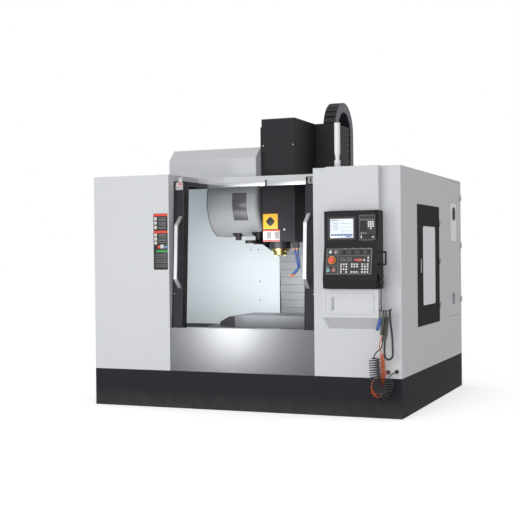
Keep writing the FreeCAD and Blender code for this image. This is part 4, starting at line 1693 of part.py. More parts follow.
# ---- hanging tools and hoses ----------------------------------------------------------------------------
def line_fittings():
    """Cord gland on the pendant, the hook bar for the tools and two wall sockets."""
    gland_y = GLAND_Y
    gland = box(PENDANT_RIGHT, PENDANT_RIGHT + 26, gland_y - 16, gland_y + 16, PENDANT_FOOT + 40,
                PENDANT_FOOT + 112)
    boot = cyl(10, 44, (GLAND_X, gland_y, PENDANT_FOOT - 4), (0, 0, 1))
    reach = BOX_RIGHT + RACK_REACH
    bar = box(BOX_RIGHT, reach, RACK_Y - RACK_WIDTH / 2, RACK_Y + RACK_WIDTH / 2, RACK_Z, RACK_Z + 5)
    lip = box(reach - 4, reach, RACK_Y - RACK_WIDTH / 2, RACK_Y + RACK_WIDTH / 2, RACK_Z + 5, RACK_Z + 18)
    sockets = [cyl(SOCKET_RADIUS, SOCKET_REACH, (x, FRONT, z), (0, -1, 0)) for x, z in SOCKET_PLACES]
    return group([fuse([gland, boot]), fuse([bar, lip])] + sockets)


def gun_body(points, hook_x, y0, y1):
    """Gun outline with a strap at its top that hangs over the hook bar."""
    body = prism_y(points, y0, y1)
    top = max(z for _, z in points)
    strap = box(hook_x - 5, hook_x + 5, y0 + 6, y1 - 6, top - 4, RACK_Z)
    return fuse([body, strap])


def wash_guns():
    """Air gun and coolant gun hanging one behind the other on the hook bar."""
    air = gun_body(AIR_GUN, AIR_GUN_HOOK, AIR_GUN_Y, AIR_GUN_Y + GUN_THICK)
    slot = box(AIR_PIVOT[0] - 14, AIR_PIVOT[0] + 14, AIR_GUN_Y + 7, AIR_GUN_Y + GUN_THICK - 7,
               AIR_PIVOT[1] - 50,
               AIR_PIVOT[1] + 10)
    pin = cyl(2.5, GUN_THICK - 10, (AIR_PIVOT[0], AIR_GUN_Y + 5, AIR_PIVOT[1]), (0, 1, 0))
    wash = gun_body(WASH_GUN, WASH_GUN_HOOK, WASH_GUN_Y, WASH_GUN_Y + GUN_THICK)
    return group([fuse([air.cut(slot), pin]), wash])


def air_gun_lever():
    """Squeeze lever on the air gun's pin."""
    x, z = AIR_PIVOT
    y0 = AIR_GUN_Y + 7.5
    y1 = AIR_GUN_Y + GUN_THICK - 7.5
    eye = cyl(6, y1 - y0, (x, y0, z), (0, 1, 0))
    blade = prism_y([(x - 6, z), (x - 1, z - 4), (x - 26, z - 92), (x - 32, z - 90)], y0, y1)
    return cut(fuse([eye, blade]), [cyl(2.5 + SCREW_FIT, 40, (x, AIR_GUN_Y, z), (0, 1, 0))])


def round_path(points):
    """Straight runs joined by tangent arcs, as one wire."""
    nodes = [Vector(*p) for p in points]
    edges = []
    start = nodes[0]
    for before, at, after in zip(nodes, nodes[1:], nodes[2:]):
        u = at - before
        v = after - at
        short = min(u.Length, v.Length)
        u.normalize()
        v.normalize()
        half = u.getAngle(v) / 2
        radius = CORD_BEND * short / math.tan(half)
        reach = radius * math.tan(half)
        a = at - u * reach
        b = at + v * reach
        bisect = v - u
        bisect.normalize()
        centre = at + bisect * (radius / math.cos(half))
        middle = centre - bisect * radius
        edges.append(Part.makeLine(start, a))
        edges.append(Part.Arc(a, middle, b).toShape())
        start = b
    edges.append(Part.makeLine(start, nodes[-1]))
    return Part.Wire(edges)


def cord_tube(points, diameter):
    """Round cord carried along a route of points."""
    path = round_path(points)
    start = Vector(*points[0])
    way = Vector(*points[1]) - start
    ring = Part.Wire([Part.makeCircle(diameter / 2, start, way)])
    return path.makePipeShell([ring], True, False)


def coil_hose(lead, coil, coil_dia, tail):
    """Wound hose: a thin lead, the coil's outer form and a thin tail."""
    return fuse([cord_tube(lead, LEAD_DIA), cord_tube(coil, coil_dia), cord_tube(tail, LEAD_DIA)])


# ---- pieces ---------------------------------------------------------------------------------------------
FRONT_REACH = PENDANT_LIP_Y
SIDE_REACH = HALF_W + HINGE_PROUD + HINGE_RADIUS
ORIGIN_SHIFT = Vector((HALF_W - SIDE_REACH) / 2, -(FRONT_REACH + BACK) / 2, 0)

PIECES = {
    "base_skirt": base_skirt,
    "levelling_feet": levelling_feet,
    "bed_casting": bed_casting,
    "column_casting": column_casting,
    "axis_drives": lambda: group([guide_rails(), axis_drives()]),
    "saddle_casting": lambda: group([saddle_casting(), x_axis_drive()]),
    "work_table": work_table,
    "table_end_guards": table_end_guards,
    "head_casting": head_casting,
    "head_cover": lambda: group([head_cover(), z_cover_upper()]),
    "spindle_motor": spindle_motor,
    "spindle_housing": spindle_housing,
    "spindle_rotor": spindle_rotor,
    "coolant_nozzles": coolant_nozzles,
    "z_cover_slider": z_cover_slider,
    "column_cover": column_cover,
    "cable_chain": cable_chain,
    "magazine_cover": magazine_cover,
    "magazine_disc": magazine_disc,
    "changer_gearbox": lambda: group([changer_gearbox(), lowered_pot()]),
    "changer_shaft": changer_shaft,
    "changer_arm": changer_arm,
    "magazine_hood": magazine_hood,
    "enclosure_panels": enclosure_panels,
    "left_front_panel": lambda: front_panel(-1),
    "right_front_panel": right_front_panel,
    "front_apron": front_apron,
    "door_beam": door_beam,
    "interior_linings": interior_linings,
    "left_door": lambda: sliding_door(-1),
    "right_door": lambda: sliding_door(1),
    "left_door_pane": lambda: door_pane(-1),
    "right_door_pane": lambda: door_pane(1),
    "side_door": side_door,
    "side_door_pane": side_door_pane,
    "cabinet_door": cabinet_door,
    "cabinet_latch": cabinet_latch,
    "pendant_housing": pendant_housing,
    "screen_unit": screen_unit,
    "control_panels": control_panels,
    "estop_button": emergency_stop,
    "tool_box": tool_box,
    "tool_box_door": tool_box_door,
    "tool_box_latch": tool_box_latch,
    "signal_lamp": signal_lamp,
    "line_fittings": line_fittings,
    "wash_guns": wash_guns,
    "air_gun_lever": air_gun_lever,
    "pendant_cord": lambda: cord_tube(CORD_ROUTE, CORD_DIA),
    "hanging_hose": lambda: cord_tube(HOSE_ROUTE, HOSE_DIA),
    "black_coil_hose": lambda: coil_hose(BLACK_LEAD, BLACK_ROUTE, BLACK_COIL, BLACK_TAIL),
    "orange_coil_hose": lambda: coil_hose(ORANGE_LEAD, ORANGE_ROUTE, ORANGE_COIL, ORANGE_TAIL),
}

os.makedirs("parts", exist_ok=True)
for piece, make in PIECES.items():
    export(piece, make())
for number, place in enumerate(BUTTON_PLACES, 1):
    export("push_button_%d" % number, push_button(*place))
for number, knob_x in enumerate(KNOB_X, 1):
    export("selector_knob_%d" % number, selector_knob(knob_x))
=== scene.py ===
"""Looks of a vertical machining centre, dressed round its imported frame.

Lengths in the classes are millimetres in the enclosure's own frame, whose origin is the middle of the skirt's
footprint; `at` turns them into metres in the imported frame.
"""
from __future__ import annotations

import logging
import math
from dataclasses import dataclass, replace
from enum import Enum
from typing import Any, Iterable, Sequence

import bpy
import numpy as np
from mathutils import Matrix, Vector

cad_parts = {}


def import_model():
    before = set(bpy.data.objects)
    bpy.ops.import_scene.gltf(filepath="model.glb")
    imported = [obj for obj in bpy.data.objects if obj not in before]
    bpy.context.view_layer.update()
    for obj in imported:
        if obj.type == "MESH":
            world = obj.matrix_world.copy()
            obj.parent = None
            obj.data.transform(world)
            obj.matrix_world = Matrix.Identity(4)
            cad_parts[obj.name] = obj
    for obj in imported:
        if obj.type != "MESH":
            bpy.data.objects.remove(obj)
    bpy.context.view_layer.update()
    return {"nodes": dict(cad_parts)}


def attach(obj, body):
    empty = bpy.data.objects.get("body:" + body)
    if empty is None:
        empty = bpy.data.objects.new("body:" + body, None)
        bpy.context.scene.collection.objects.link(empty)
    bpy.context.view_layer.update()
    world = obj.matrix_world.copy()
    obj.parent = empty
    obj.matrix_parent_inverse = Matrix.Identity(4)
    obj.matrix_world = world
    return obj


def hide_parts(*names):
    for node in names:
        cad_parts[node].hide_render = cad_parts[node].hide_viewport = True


LOG = logging.getLogger("machining_centre")
MM = 0.001
SHIFT_X = -10.5
SHIFT_Y = 104.5
Triple = tuple[float, float, float]
Pair = tuple[float, float]
Row = tuple[float, float, float, float]     # middle across, middle up, width and height, in mm
Plane = tuple[float, float, float, float]
Rings = np.ndarray
Tree = bpy.types.NodeTree
Socket = bpy.types.NodeSocket


def at(x: float, y: float, z: float) -> np.ndarray:
    """Point of the enclosure's frame, in millimetres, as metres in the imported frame.

    Args:
        x: across the front, to the operator's right.
        y: towards the back.
        z: height over the floor.

    Returns:
        Array of three metres.
    """
    return np.array([(x + SHIFT_X) * MM, (y + SHIFT_Y) * MM, z * MM])


def linear(hex_colour: str) -> tuple[float, float, float, float]:
    """Linear RGBA of an sRGB hex colour.

    Args:
        hex_colour: six hex digits, with or without a leading hash.

    Returns:
        Red, green, blue and an alpha of one.
    """
    digits = hex_colour.lstrip("#")
    srgb = [int(digits[i:i + 2], 16) / 255 for i in (0, 2, 4)]
    red, green, blue = (c / 12.92 if c <= 0.04045 else ((c + 0.055) / 1.055) ** 2.4 for c in srgb)
    return red, green, blue, 1.0


# ---- materials ------------------------------------------------------------------------------------------
def add(tree: Tree, kind: str, inputs: dict[Any, Any] | None = None, **settings: Any) -> bpy.types.Node:
    """Adds one node, sets its properties and fills or links its sockets.

    Args:
        tree: the node tree.
        kind: the node's type name.
        inputs: value or output socket for each input, by name or number.
        settings: properties of the node.

    Returns:
        The new node.
    """
    made = tree.nodes.new(kind)
    for key, value in settings.items():
        setattr(made, key, value)
    for key, value in (inputs or {}).items():
        socket = made.inputs[key]
        if isinstance(value, Socket):
            tree.links.new(value, socket)
        else:
            socket.default_value = value
    return made


def mixed(tree: Tree, share: Socket, first: Any, second: Any) -> Socket:
    """Blend from `first` to `second` by `share`: of colours where `second` is a tuple, else of numbers."""
    kind, result = ("RGBA", 2) if isinstance(second, tuple) else ("FLOAT", 0)
    return add(tree, "ShaderNodeMix", {"Factor": share, "A": first, "B": second}, data_type=kind).outputs[result]


def noise(tree: Tree, place: Socket, scale: float, detail: float = 2.0) -> Socket:
    """Fractal noise with `scale` patches to the metre."""
    return add(tree, "ShaderNodeTexNoise", {"Vector": place, "Scale": scale, "Detail": detail}).outputs["Fac"]


def uneven(tree: Tree, share: Socket, colour: str, low: float, high: float = 1.0) -> Socket:
    """Colour at `low` times its strength where `share` is nought and at `high` times where it is one."""
    dark, light = (tuple(min(1.0, c * k) for c in linear(colour)[:3]) + (1.0,) for k in (low, high))
    return mixed(tree, share, dark, light)


class Pattern(Enum):
    """How a surface was made, which sets its fine relief."""

    PEEL = "powder coat, softly dimpled"
    BRUSHED_X = "brushed along X"
    SAND = "sand-cast and painted"
    FEED = "milled or ground"
    GRAIN = "moulded with a matt grain"
    SMOOTH = "moulded or polished smooth"


# Relief of each pattern: stretch of the noise along X, Y, Z (a larger number makes it finer that way), bump
# distance in mm and how much the roughness swings.
RELIEF: dict[Pattern, tuple[Triple, float, float]] = {
    Pattern.PEEL: ((1.0, 1.0, 1.0), 0.25, 0.05),
    Pattern.BRUSHED_X: ((0.03, 1.0, 1.0), 0.0015, 0.04),
    Pattern.SAND: ((1.0, 1.0, 1.0), 0.9, 0.10),
    Pattern.FEED: ((0.12, 1.0, 1.0), 0.08, 0.12),
    Pattern.GRAIN: ((1.0, 1.0, 1.0), 0.20, 0.08),
    Pattern.SMOOTH: ((1.0, 1.0, 1.0), 0.02, 0.03),
}


@dataclass(frozen=True)
class Zone:
    """Part of a one-piece node that has its own colour: the points beyond every listed plane.

    A plane is (a, b, c, d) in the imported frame, in metres, and a point is beyond it where ax + by + cz > d.
    """

    planes: tuple[Plane, ...]
    colour: str
    rough: float
    metallic: float = 0.0

    def mask(self, tree: Tree, place: Socket) -> Socket:
        """Mask of the zone: the product of a step for each plane.

        Args:
            tree: the material's node tree.
            place: the object's own coordinates.

        Returns:
            Socket that is one inside the zone and nought outside it.
        """
        total = None
        for a, b, c, d in self.planes:
            along = add(tree, "ShaderNodeVectorMath", {0: place, 1: (a, b, c)}, operation="DOT_PRODUCT")
            step = add(tree, "ShaderNodeMath", {0: along.outputs["Value"], 1: d}, operation="GREATER_THAN").outputs[0]
            total = step if total is None else add(tree, "ShaderNodeMath", {0: total, 1: step},
                                                   operation="MULTIPLY").outputs[0]
        return total


@dataclass(frozen=True)
class Surface:
    """What a piece is made of to the eye, built as one procedural material."""

    name: str
    colour: str

    def sockets(self, tree: Tree, place: Socket) -> dict[str, Any]:
        """Inputs of the shader, which each kind of surface sets in its own way.

        Args:
            tree: the material's node tree.
            place: the object's own coordinates.

        Returns:
            Value or socket for each input, by name.
        """
        raise NotImplementedError

    def material(self) -> bpy.types.Material:
        """Builds the material once and returns it after that."""
        made = bpy.data.materials.get(self.name)
        if made is None:
            made = bpy.data.materials.new(self.name)
            made.use_nodes = True
            tree = made.node_tree
            tree.nodes.clear()
            place = add(tree, "ShaderNodeTexCoord").outputs["Object"]
            surface = add(tree, "ShaderNodeBsdfPrincipled", self.sockets(tree, place))
            add(tree, "ShaderNodeOutputMaterial", {"Surface": surface.outputs["BSDF"]})
        return made


@dataclass(frozen=True)
class Finish(Surface):
    """One real surface finish."""

    rough: float
    pattern: Pattern
    metallic: float = 0.0
    ior: float = 1.5
    tone: float = 0.04          # how far the colour drifts, as a share
    patch_mm: float = 420.0     # size of that drift
    grain_mm: float = 9.0       # size of the relief; real ones are finer, and this is the finest that still shows
    coat: float = 0.0
    dust_and_shade_colour: str = ""              # colour of a film low down, where there is any: real dust on the skirt, painted shade on the guards
    dust_and_shade_top_mm: float = 0.0
    zones: tuple[Zone, ...] = ()

    def sockets(self, tree: Tree, place: Socket) -> dict[str, Any]:
        """Drifting colour, fine relief and swinging roughness, with a low film and zones where the finish has them; the
        low film is dust on some finishes and painted shade on others.

        Args:
            tree: the material's node tree.
            place: the object's own coordinates.

        Returns:
            Value or socket for each input, by name.
        """
        cloud = noise(tree, place, 1 / (self.patch_mm * MM))
        colour = uneven(tree, cloud, self.colour, 1 - self.tone, 1 + self.tone)
        if self.dust_and_shade_colour:
            colour = self.dust_and_shade(tree, place, colour)
        stretch, depth, swing = RELIEF[self.pattern]
        turned = add(tree, "ShaderNodeMapping", {"Vector": place, "Scale": stretch}).outputs["Vector"]
        grain = noise(tree, turned, 1 / (self.grain_mm * MM), 3.0)
        rough = add(tree, "ShaderNodeMapRange", {
            "Value": grain, "From Min": 0.3, "From Max": 0.7, "To Min": max(0.02, self.rough - swing / 2),
            "To Max": min(1.0, self.rough + swing / 2)}).outputs["Result"]
        bump = add(tree, "ShaderNodeBump", {"Height": grain, "Strength": 0.5, "Distance": depth * MM})
        shader = {"Base Color": colour, "Roughness": rough, "Normal": bump.outputs["Normal"], "IOR": self.ior,
                  "Metallic": self.metallic, "Coat Weight": self.coat, "Coat Roughness": 0.12}
        for zone in self.zones:
            mask = zone.mask(tree, place)
            changes = {"Base Color": linear(zone.colour), "Roughness": zone.rough}
            if zone.metallic != self.metallic:
                changes["Metallic"] = zone.metallic
            for socket, value in changes.items():
                shader[socket] = mixed(tree, mask, shader[socket], value)
        return shader

    def dust_and_shade(self, tree: Tree, place: Socket, colour: Socket) -> Socket:
        """Colour with a thin film that fades out at `dust_and_shade_top_mm`: dust on the skirt, painted shade on the
        guards.

        Args:
            tree: the material's node tree.
            place: the object's own coordinates.
            colour: the clean colour.

        Returns:
            The colour with its low film.
        """
        height = add(tree, "ShaderNodeSeparateXYZ", {"Vector": place}).outputs["Z"]
        fade = add(tree, "ShaderNodeMapRange", {"Value": height, "From Min": 0.0, "From Max": self.dust_and_shade_top_mm * MM,
                                                "To Min": 0.45, "To Max": 0.0}).outputs["Result"]
        speck = noise(tree, place, 14.0, 5.0)
        amount = add(tree, "ShaderNodeMath", {0: fade, 1: speck}, operation="MULTIPLY").outputs[0]
        return mixed(tree, amount, colour, linear(self.dust_and_shade_colour))


@dataclass(frozen=True)
class Glazing(Surface):
    """Clear or tinted sheet that lets the light through."""

    through: float
    rough: float = 0.04

    def sockets(self, tree: Tree, place: Socket) -> dict[str, Any]:
        """A part of clear transmission over a faintly hazed sheet."""
        haze = noise(tree, place, 3.0, 3.0)
        rough = add(tree, "ShaderNodeMapRange", {"Value": haze, "To Min": self.rough, "To Max": self.rough + 0.08})
        return {"Base Color": uneven(tree, haze, self.colour, 0.94), "Roughness": rough.outputs["Result"],
                "Transmission Weight": self.through, "IOR": 1.49}


@dataclass(frozen=True)
class Lit(Surface):
    """Backlit screen or lamp window: it glows softly in its own colour."""

    glow: float

    def sockets(self, tree: Tree, place: Socket) -> dict[str, Any]:
        """A smooth window with a slight unevenness of the backlight."""
        colour = uneven(tree, noise(tree, place, 12.0), self.colour, 0.93)
        return {"Base Color": colour, "Roughness": 0.18, "IOR": 1.49, "Emission Color": colour,
                "Emission Strength": self.glow}


def key_plastic(word: str, colour: str, rough: float = 0.32, pattern: Pattern = Pattern.SMOOTH) -> Finish:
    """Moulded ABS of a key or button."""
    return Finish(f"abs_{word}", colour, rough, pattern, grain_mm=3.0)


def film(word: str, colour: str, rough: float = 0.42) -> Finish:
    """Printed film of a plate."""
    return Finish(f"printed_film_{word}", colour, rough, Pattern.SMOOTH, grain_mm=4.0)


# Powder-coated mild steel: satin polyester with an orange peel of about 1 mm, drawn at 9 mm so that it shows.
LIGHT_COAT = Finish("powder_coat_light_grey", "#d6d8db", 0.50, Pattern.PEEL, tone=0.015)
DARK_COAT = Finish("powder_coat_charcoal", "#302e33", 0.52, Pattern.PEEL, ior=1.36, tone=0.05)
SKIRT_COAT = replace(DARK_COAT, name="powder_coat_charcoal_skirt", colour="#2e2c31", rough=0.60, ior=1.2,
                     dust_and_shade_colour="#6d6964", dust_and_shade_top_mm=160.0)
HEAD_COAT = replace(DARK_COAT, name="powder_coat_black_brown", colour="#262228", rough=0.50)
# Wet-splash guards inside the work zone: pale blue-white enamel on galvanised sheet. Their low film is the same
# blue-grey darkened, which is painted shade towards the bottom.
GUARD_COAT = Finish("enamel_pale_blue", "#e6eef2", 0.42, Pattern.PEEL, tone=0.03, dust_and_shade_colour="#8b9195", dust_and_shade_top_mm=900.0)
# Type 304 sheet, brushed level, so that a lamp drawn in it becomes a tall soft band.
APRON_STEEL = Finish("stainless_brushed_level", "#6d6e71", 0.23, Pattern.BRUSHED_X, metallic=1.0, grain_mm=5.0,
                     patch_mm=260.0)
COVER_STEEL = Finish("stainless_cover_leaf", "#85888c", 0.45, Pattern.BRUSHED_X, metallic=0.4, grain_mm=6.0)
TABLE_IRON = Finish("ground_cast_iron", "#7c7e83", 0.42, Pattern.FEED, metallic=0.85, grain_mm=7.0, tone=0.07)
PAINTED_IRON = Finish("sand_casting_grey_enamel", "#75797c", 0.55, Pattern.SAND, grain_mm=14.0, tone=0.06)
GROUND_STEEL = Finish("ground_tool_steel", "#a8aaac", 0.28, Pattern.FEED, metallic=1.0, grain_mm=5.0)
BLACK_OXIDE = Finish("black_oxide_steel", "#2a2a2c", 0.42, Pattern.FEED, metallic=0.6, grain_mm=6.0)
BRIGHT_STEEL = Finish("satin_chromed_steel", "#d8dbdf", 0.30, Pattern.SMOOTH, metallic=0.85, grain_mm=5.0)
BRASS_RING = Finish("turned_bronze_ring", "#a79a66", 0.30, Pattern.FEED, metallic=0.9, grain_mm=4.0)
BLACK_NYLON = Finish("moulded_black_nylon", "#242528", 0.48, Pattern.GRAIN, tone=0.06)
RUBBER = Finish("extruded_hose_rubber", "#3a3b3e", 0.62, Pattern.GRAIN, grain_mm=3.0, tone=0.08, patch_mm=60.0)
ORANGE_TUBE = Finish("polyurethane_tube_orange", "#ee6a2b", 0.30, Pattern.SMOOTH, tone=0.05, patch_mm=40.0, coat=0.2)
BLUE_ACETAL = Finish("acetal_blue", "#2f549a", 0.36, Pattern.SMOOTH, tone=0.06, patch_mm=30.0)
ORANGE_ACETAL = Finish("acetal_orange", "#dd7f3c", 0.36, Pattern.SMOOTH, tone=0.05, patch_mm=30.0)
ABS_BLACK = Finish("abs_black", "#232226", 0.42, Pattern.GRAIN, grain_mm=4.0)
ABS_GREY_KEY = key_plastic("key_grey", "#8e9093", 0.45, Pattern.GRAIN)
ABS_PALE_KEY = key_plastic("key_pale", "#e4e5e2", 0.42, Pattern.GRAIN)
ABS_RED = key_plastic("red", "#d5453a")
ABS_GREEN = key_plastic("pale_green", "#bfe3c4")
ABS_PINK = key_plastic("dusky_pink", "#b8837f")
ABS_TEAL = key_plastic("teal", "#52b3b4")
STOP_RED = Finish("stop_button_red", "#e2382a", 0.26, Pattern.SMOOTH, coat=0.3, grain_mm=3.0)
STOP_YELLOW = Finish("stop_ring_yellow", "#efb52e", 0.36, Pattern.SMOOTH, grain_mm=3.0)
FILM_BLACK = film("black", "#1f2022", 0.40)
FILM_RULE = film("pale_line", "#9b9ea1", 0.45)
FILM_RED = film("red", "#ea4a34")
FILM_GREEN = film("green", "#3f9b56")
FILM_BLUE = film("blue", "#6f93c4")
FILM_YELLOW = film("yellow", "#f0bb34")
FILM_WHITE = film("white", "#dcd6d6")
FILM_GREY = film("grey", "#9c9a9d")
LATCH_ZINC = Finish("die_cast_zinc_satin", "#97989c", 0.40, Pattern.SMOOTH, metallic=0.5)
GUN_BODY = Finish("cast_zinc_olive", "#4c5045", 0.50, Pattern.SAND, grain_mm=4.0)
DOOR_GLASS = Glazing("laminated_safety_glass", "#c8d0d4", 0.75)
SIDE_GLASS = Finish("polycarbonate_backed_lilac_grey", "#f0eff6", 0.24, Pattern.SMOOTH, coat=0.4, tone=0.05)
SCREEN_WHITE = Lit("screen_white", "#dfe6ee", 0.25)
SCREEN_BLUE = Lit("screen_blue", "#4d6a98", 0.25)
SCREEN_GREY = Lit("screen_grey", "#9fa9b8", 0.15)
DISPLAY_RED = Lit("display_red", "#b2504c", 0.25)


# ---- surfaces -------------------------------------------------------------------------------------------
@dataclass(frozen=True)
class Face:
    """A flat seat that pieces are laid on: an origin, the way across and the way up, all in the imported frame."""

    origin: Triple
    across: Triple
    up: Triple

    def lay(self, local: np.ndarray, x: float = 0.0, z: float = 0.0, out: float = 0.0) -> np.ndarray:
        """Local points (across, up, out), in mm, set on the face.

        Formula: origin + (x + u) across + (z + v) up + (out + w) (across x up).

        Args:
            local: array whose last axis holds u, v and w.
            x: shift across, in mm.
            z: shift up, in mm.
            out: shift off the face, in mm.

        Returns:
            Array of the same shape, in metres.
        """
        a = np.array(self.across, float)
        u = np.array(self.up, float)
        n = np.cross(a, u)
        moved = np.asarray(local, float) + np.array([x, z, out])
        return np.array(self.origin) + (moved[..., :1] * a + moved[..., 1:2] * u + moved[..., 2:3] * n) * MM


def front_face(y: float) -> Face:
    """Upright face that looks at the operator, at depth `y` in mm."""
    return Face(tuple(at(0, y, 0)), (1, 0, 0), (0, 0, 1))


def side_face(x: float) -> Face:
    """Upright face that looks to the right, at `x` in mm."""
    return Face(tuple(at(x, 0, 0)), (0, 1, 0), (0, 0, 1))


def slab(width: float, height: float, thick: float, corner: float = 2.0, bevel: float = 0.6, turns: int = 5) -> Rings:
    """Rounded plate as rings of one outline.

    Formula: the outline runs round four quarter circles of radius `corner` centred inside the corners; ring k is that
    outline drawn in by the bevel's quarter circle, b(1 - cos t), at height thick - b + b sin t.

    Args:
        width: size across, in mm.
        height: size up, in mm.
        thick: size off the seat, in mm.
        corner: radius of the corners.
        bevel: radius of the front edge.
        turns: points to a corner.

    Returns:
        Array (rings, points, 3) of across, up and out.
    """
    corner = min(corner, width / 2 - 0.01, height / 2 - 0.01)
    bevel = min(bevel, thick * 0.9, corner if corner > 0.2 else 0.2)
    t = np.linspace(0, math.pi / 2, turns)
    quarter = np.stack([np.cos(t), np.sin(t)], axis=1)
    spin = [np.array([[c, -s], [s, c]]) for c, s in ((1, 0), (0, 1), (-1, 0), (0, -1))]
    signs = [(1, 1), (-1, 1), (-1, -1), (1, -1)]

    def outline(inset: float) -> np.ndarray:
        radius = max(corner - inset, 0.02)
        half = np.array([width / 2 - corner, height / 2 - corner])
        return np.concatenate([quarter @ m.T * radius + half * sg for m, sg in zip(spin, signs)])

    steps = np.linspace(0, math.pi / 2, 4)
    levels = [(0.0, 0.0)] + [(bevel * (1 - math.cos(s)), thick - bevel + bevel * math.sin(s)) for s in steps]
    rings = []
    for inset, height_out in levels:
        line = outline(inset)
        rings.append(np.column_stack([line, np.full(len(line), height_out)]))
    return np.array(rings)


def lathe(profile: Sequence[Pair], sides: int = 20) -> Rings:
    """Turned body: each (radius, height) of the profile becomes a ring (r cos a, r sin a, h).

    Args:
        profile: pairs in mm, from the seat outwards.
        sides: points to a ring.

    Returns:
        Array (rings, points, 3).
    """
    a = np.arange(sides) * (2 * math.pi / sides)
    radius, height = np.array(profile, float).T
    return np.stack([radius[:, None] * np.cos(a), radius[:, None] * np.sin(a),
                     np.repeat(height[:, None], sides, axis=1)], axis=2)


def carried_frames(path: np.ndarray) -> tuple[np.ndarray, np.ndarray]:
    """Two directions square to a path that turn no more than the path does.

    Formula: each tangent is the central difference; the side direction of the first point is carried on by taking off
    its part along each next tangent and restoring its length.

    Args:
        path: points (n, 3).

    Returns:
        Two arrays (n, 3) of unit directions.
    """
    tangent = np.gradient(path, axis=0)
    tangent /= np.linalg.norm(tangent, axis=1)[:, None]
    side = np.cross(tangent[0], (0.0, 1.0, 0.0))
    if np.linalg.norm(side) < 0.1:
        side = np.cross(tangent[0], (1.0, 0.0, 0.0))
    sides = np.empty_like(path)
    for i, t in enumerate(tangent):
        side = side - t * np.dot(side, t)
        side = side / np.linalg.norm(side)
        sides[i] = side
    return sides, np.cross(tangent, sides)


def tube(path: np.ndarray, radius: float | np.ndarray, sides: int = 10) -> Rings:
    """Round tube along a path: ring i is path_i + r_i (cos a side_i + sin a other_i).

    Args:
        path: points (n, 3).
        radius: one radius, or one for each point.
        sides: points to a ring.

    Returns:
        Array (n, sides, 3).
    """
    one, two = carried_frames(path)
    a = np.arange(sides) * (2 * math.pi / sides)
    r = np.broadcast_to(np.asarray(radius, float), (len(path),))[:, None, None]
    round_it = np.cos(a)[None, :, None] * one[:, None, :] + np.sin(a)[None, :, None] * two[:, None, :]
    return path[:, None, :] + r * round_it


def helix(path: np.ndarray, start: float, end: float, radius: float, turns: int, per_turn: int = 14) -> np.ndarray:
    """Curls wound round a path, straight before `start` and after `end`.

    Formula: at the share s of the coiled stretch, the point is path + R e(s) (cos(2 pi N s) side + sin(2 pi N s)
    other), where e rises from nought to one over the first turn and falls again over the last, as a smooth step.

    Args:
        path: dense points (n, 3) in metres.
        start: distance along the path where the curls begin.
        end: distance along the path where they end.
        radius: radius of the curls' centre line.
        turns: number of curls.
        per_turn: points to a curl.

    Returns:
        Points of the curled line.
    """
    run = np.concatenate([[0.0], np.cumsum(np.linalg.norm(np.diff(path, axis=0), axis=1))])
    before = np.linspace(0, start, max(3, int(start / 0.006)), endpoint=False)
    coiled = np.linspace(start, end, turns * per_turn, endpoint=False)
    after = np.linspace(end, run[-1], max(3, int((run[-1] - end) / 0.006)))
    where = np.concatenate([before, coiled, after])
    line = np.stack([np.interp(where, run, path[:, k]) for k in range(3)], axis=1)
    one, two = carried_frames(line)
    share = np.clip((where - start) / (end - start), 0, 1)
    rise = np.clip(share * turns, 0, 1)
    fall = np.clip((1 - share) * turns, 0, 1)
    ease = (rise * rise * (3 - 2 * rise)) * (fall * fall * (3 - 2 * fall))
    angle = 2 * math.pi * turns * share
    return line + (radius * ease)[:, None] * (np.cos(angle)[:, None] * one + np.sin(angle)[:, None] * two)


def linked(name: str, data: Any) -> bpy.types.Object:
    """New object that holds the data, linked to the scene."""
    made = bpy.data.objects.new(name, data)
    bpy.context.scene.collection.objects.link(made)
    return made


def nurbs(name: str, route: Iterable[Triple], thick: float = 0.0) -> bpy.types.Object:
    """Curve object with one NURBS spline whose control points are the route.

    Args:
        name: the object's name.
        route: points in mm, in the enclosure's frame.
        thick: diameter of the round bevel in mm, nought for a bare line.

    Returns:
        The curve object, linked to the scene.
    """
    points = [at(*p) for p in route]
    data = bpy.data.curves.new(name, "CURVE")
    data.dimensions = "3D"
    spline = data.splines.new("NURBS")
    spline.points.add(len(points) - 1)
    for point, place in zip(spline.points, points):
        point.co = (*place, 1.0)
    spline.order_u = 3
    spline.use_endpoint_u = True
    spline.resolution_u = 16
    if thick:
        data.bevel_depth = thick * MM / 2
        data.bevel_resolution = 4
        data.use_fill_caps = True
    return linked(name, data)


def line_of(route: Iterable[Triple]) -> np.ndarray:
    """Points along the smooth line of a route, read from its NURBS spline."""
    made = nurbs("line_reader", route)
    bpy.context.view_layer.update()
    mesh = bpy.data.meshes.new_from_object(made)
    flat = np.empty(len(mesh.vertices) * 3)
    mesh.vertices.foreach_get("co", flat)
    bpy.data.meshes.remove(mesh)
    curve = made.data
    bpy.data.objects.remove(made)
    bpy.data.curves.remove(curve)
    return flat.reshape(-1, 3)


def length_of(path: np.ndarray) -> float:
    """Length of a line of points."""
    return float(np.linalg.norm(np.diff(path, axis=0), axis=1).sum())


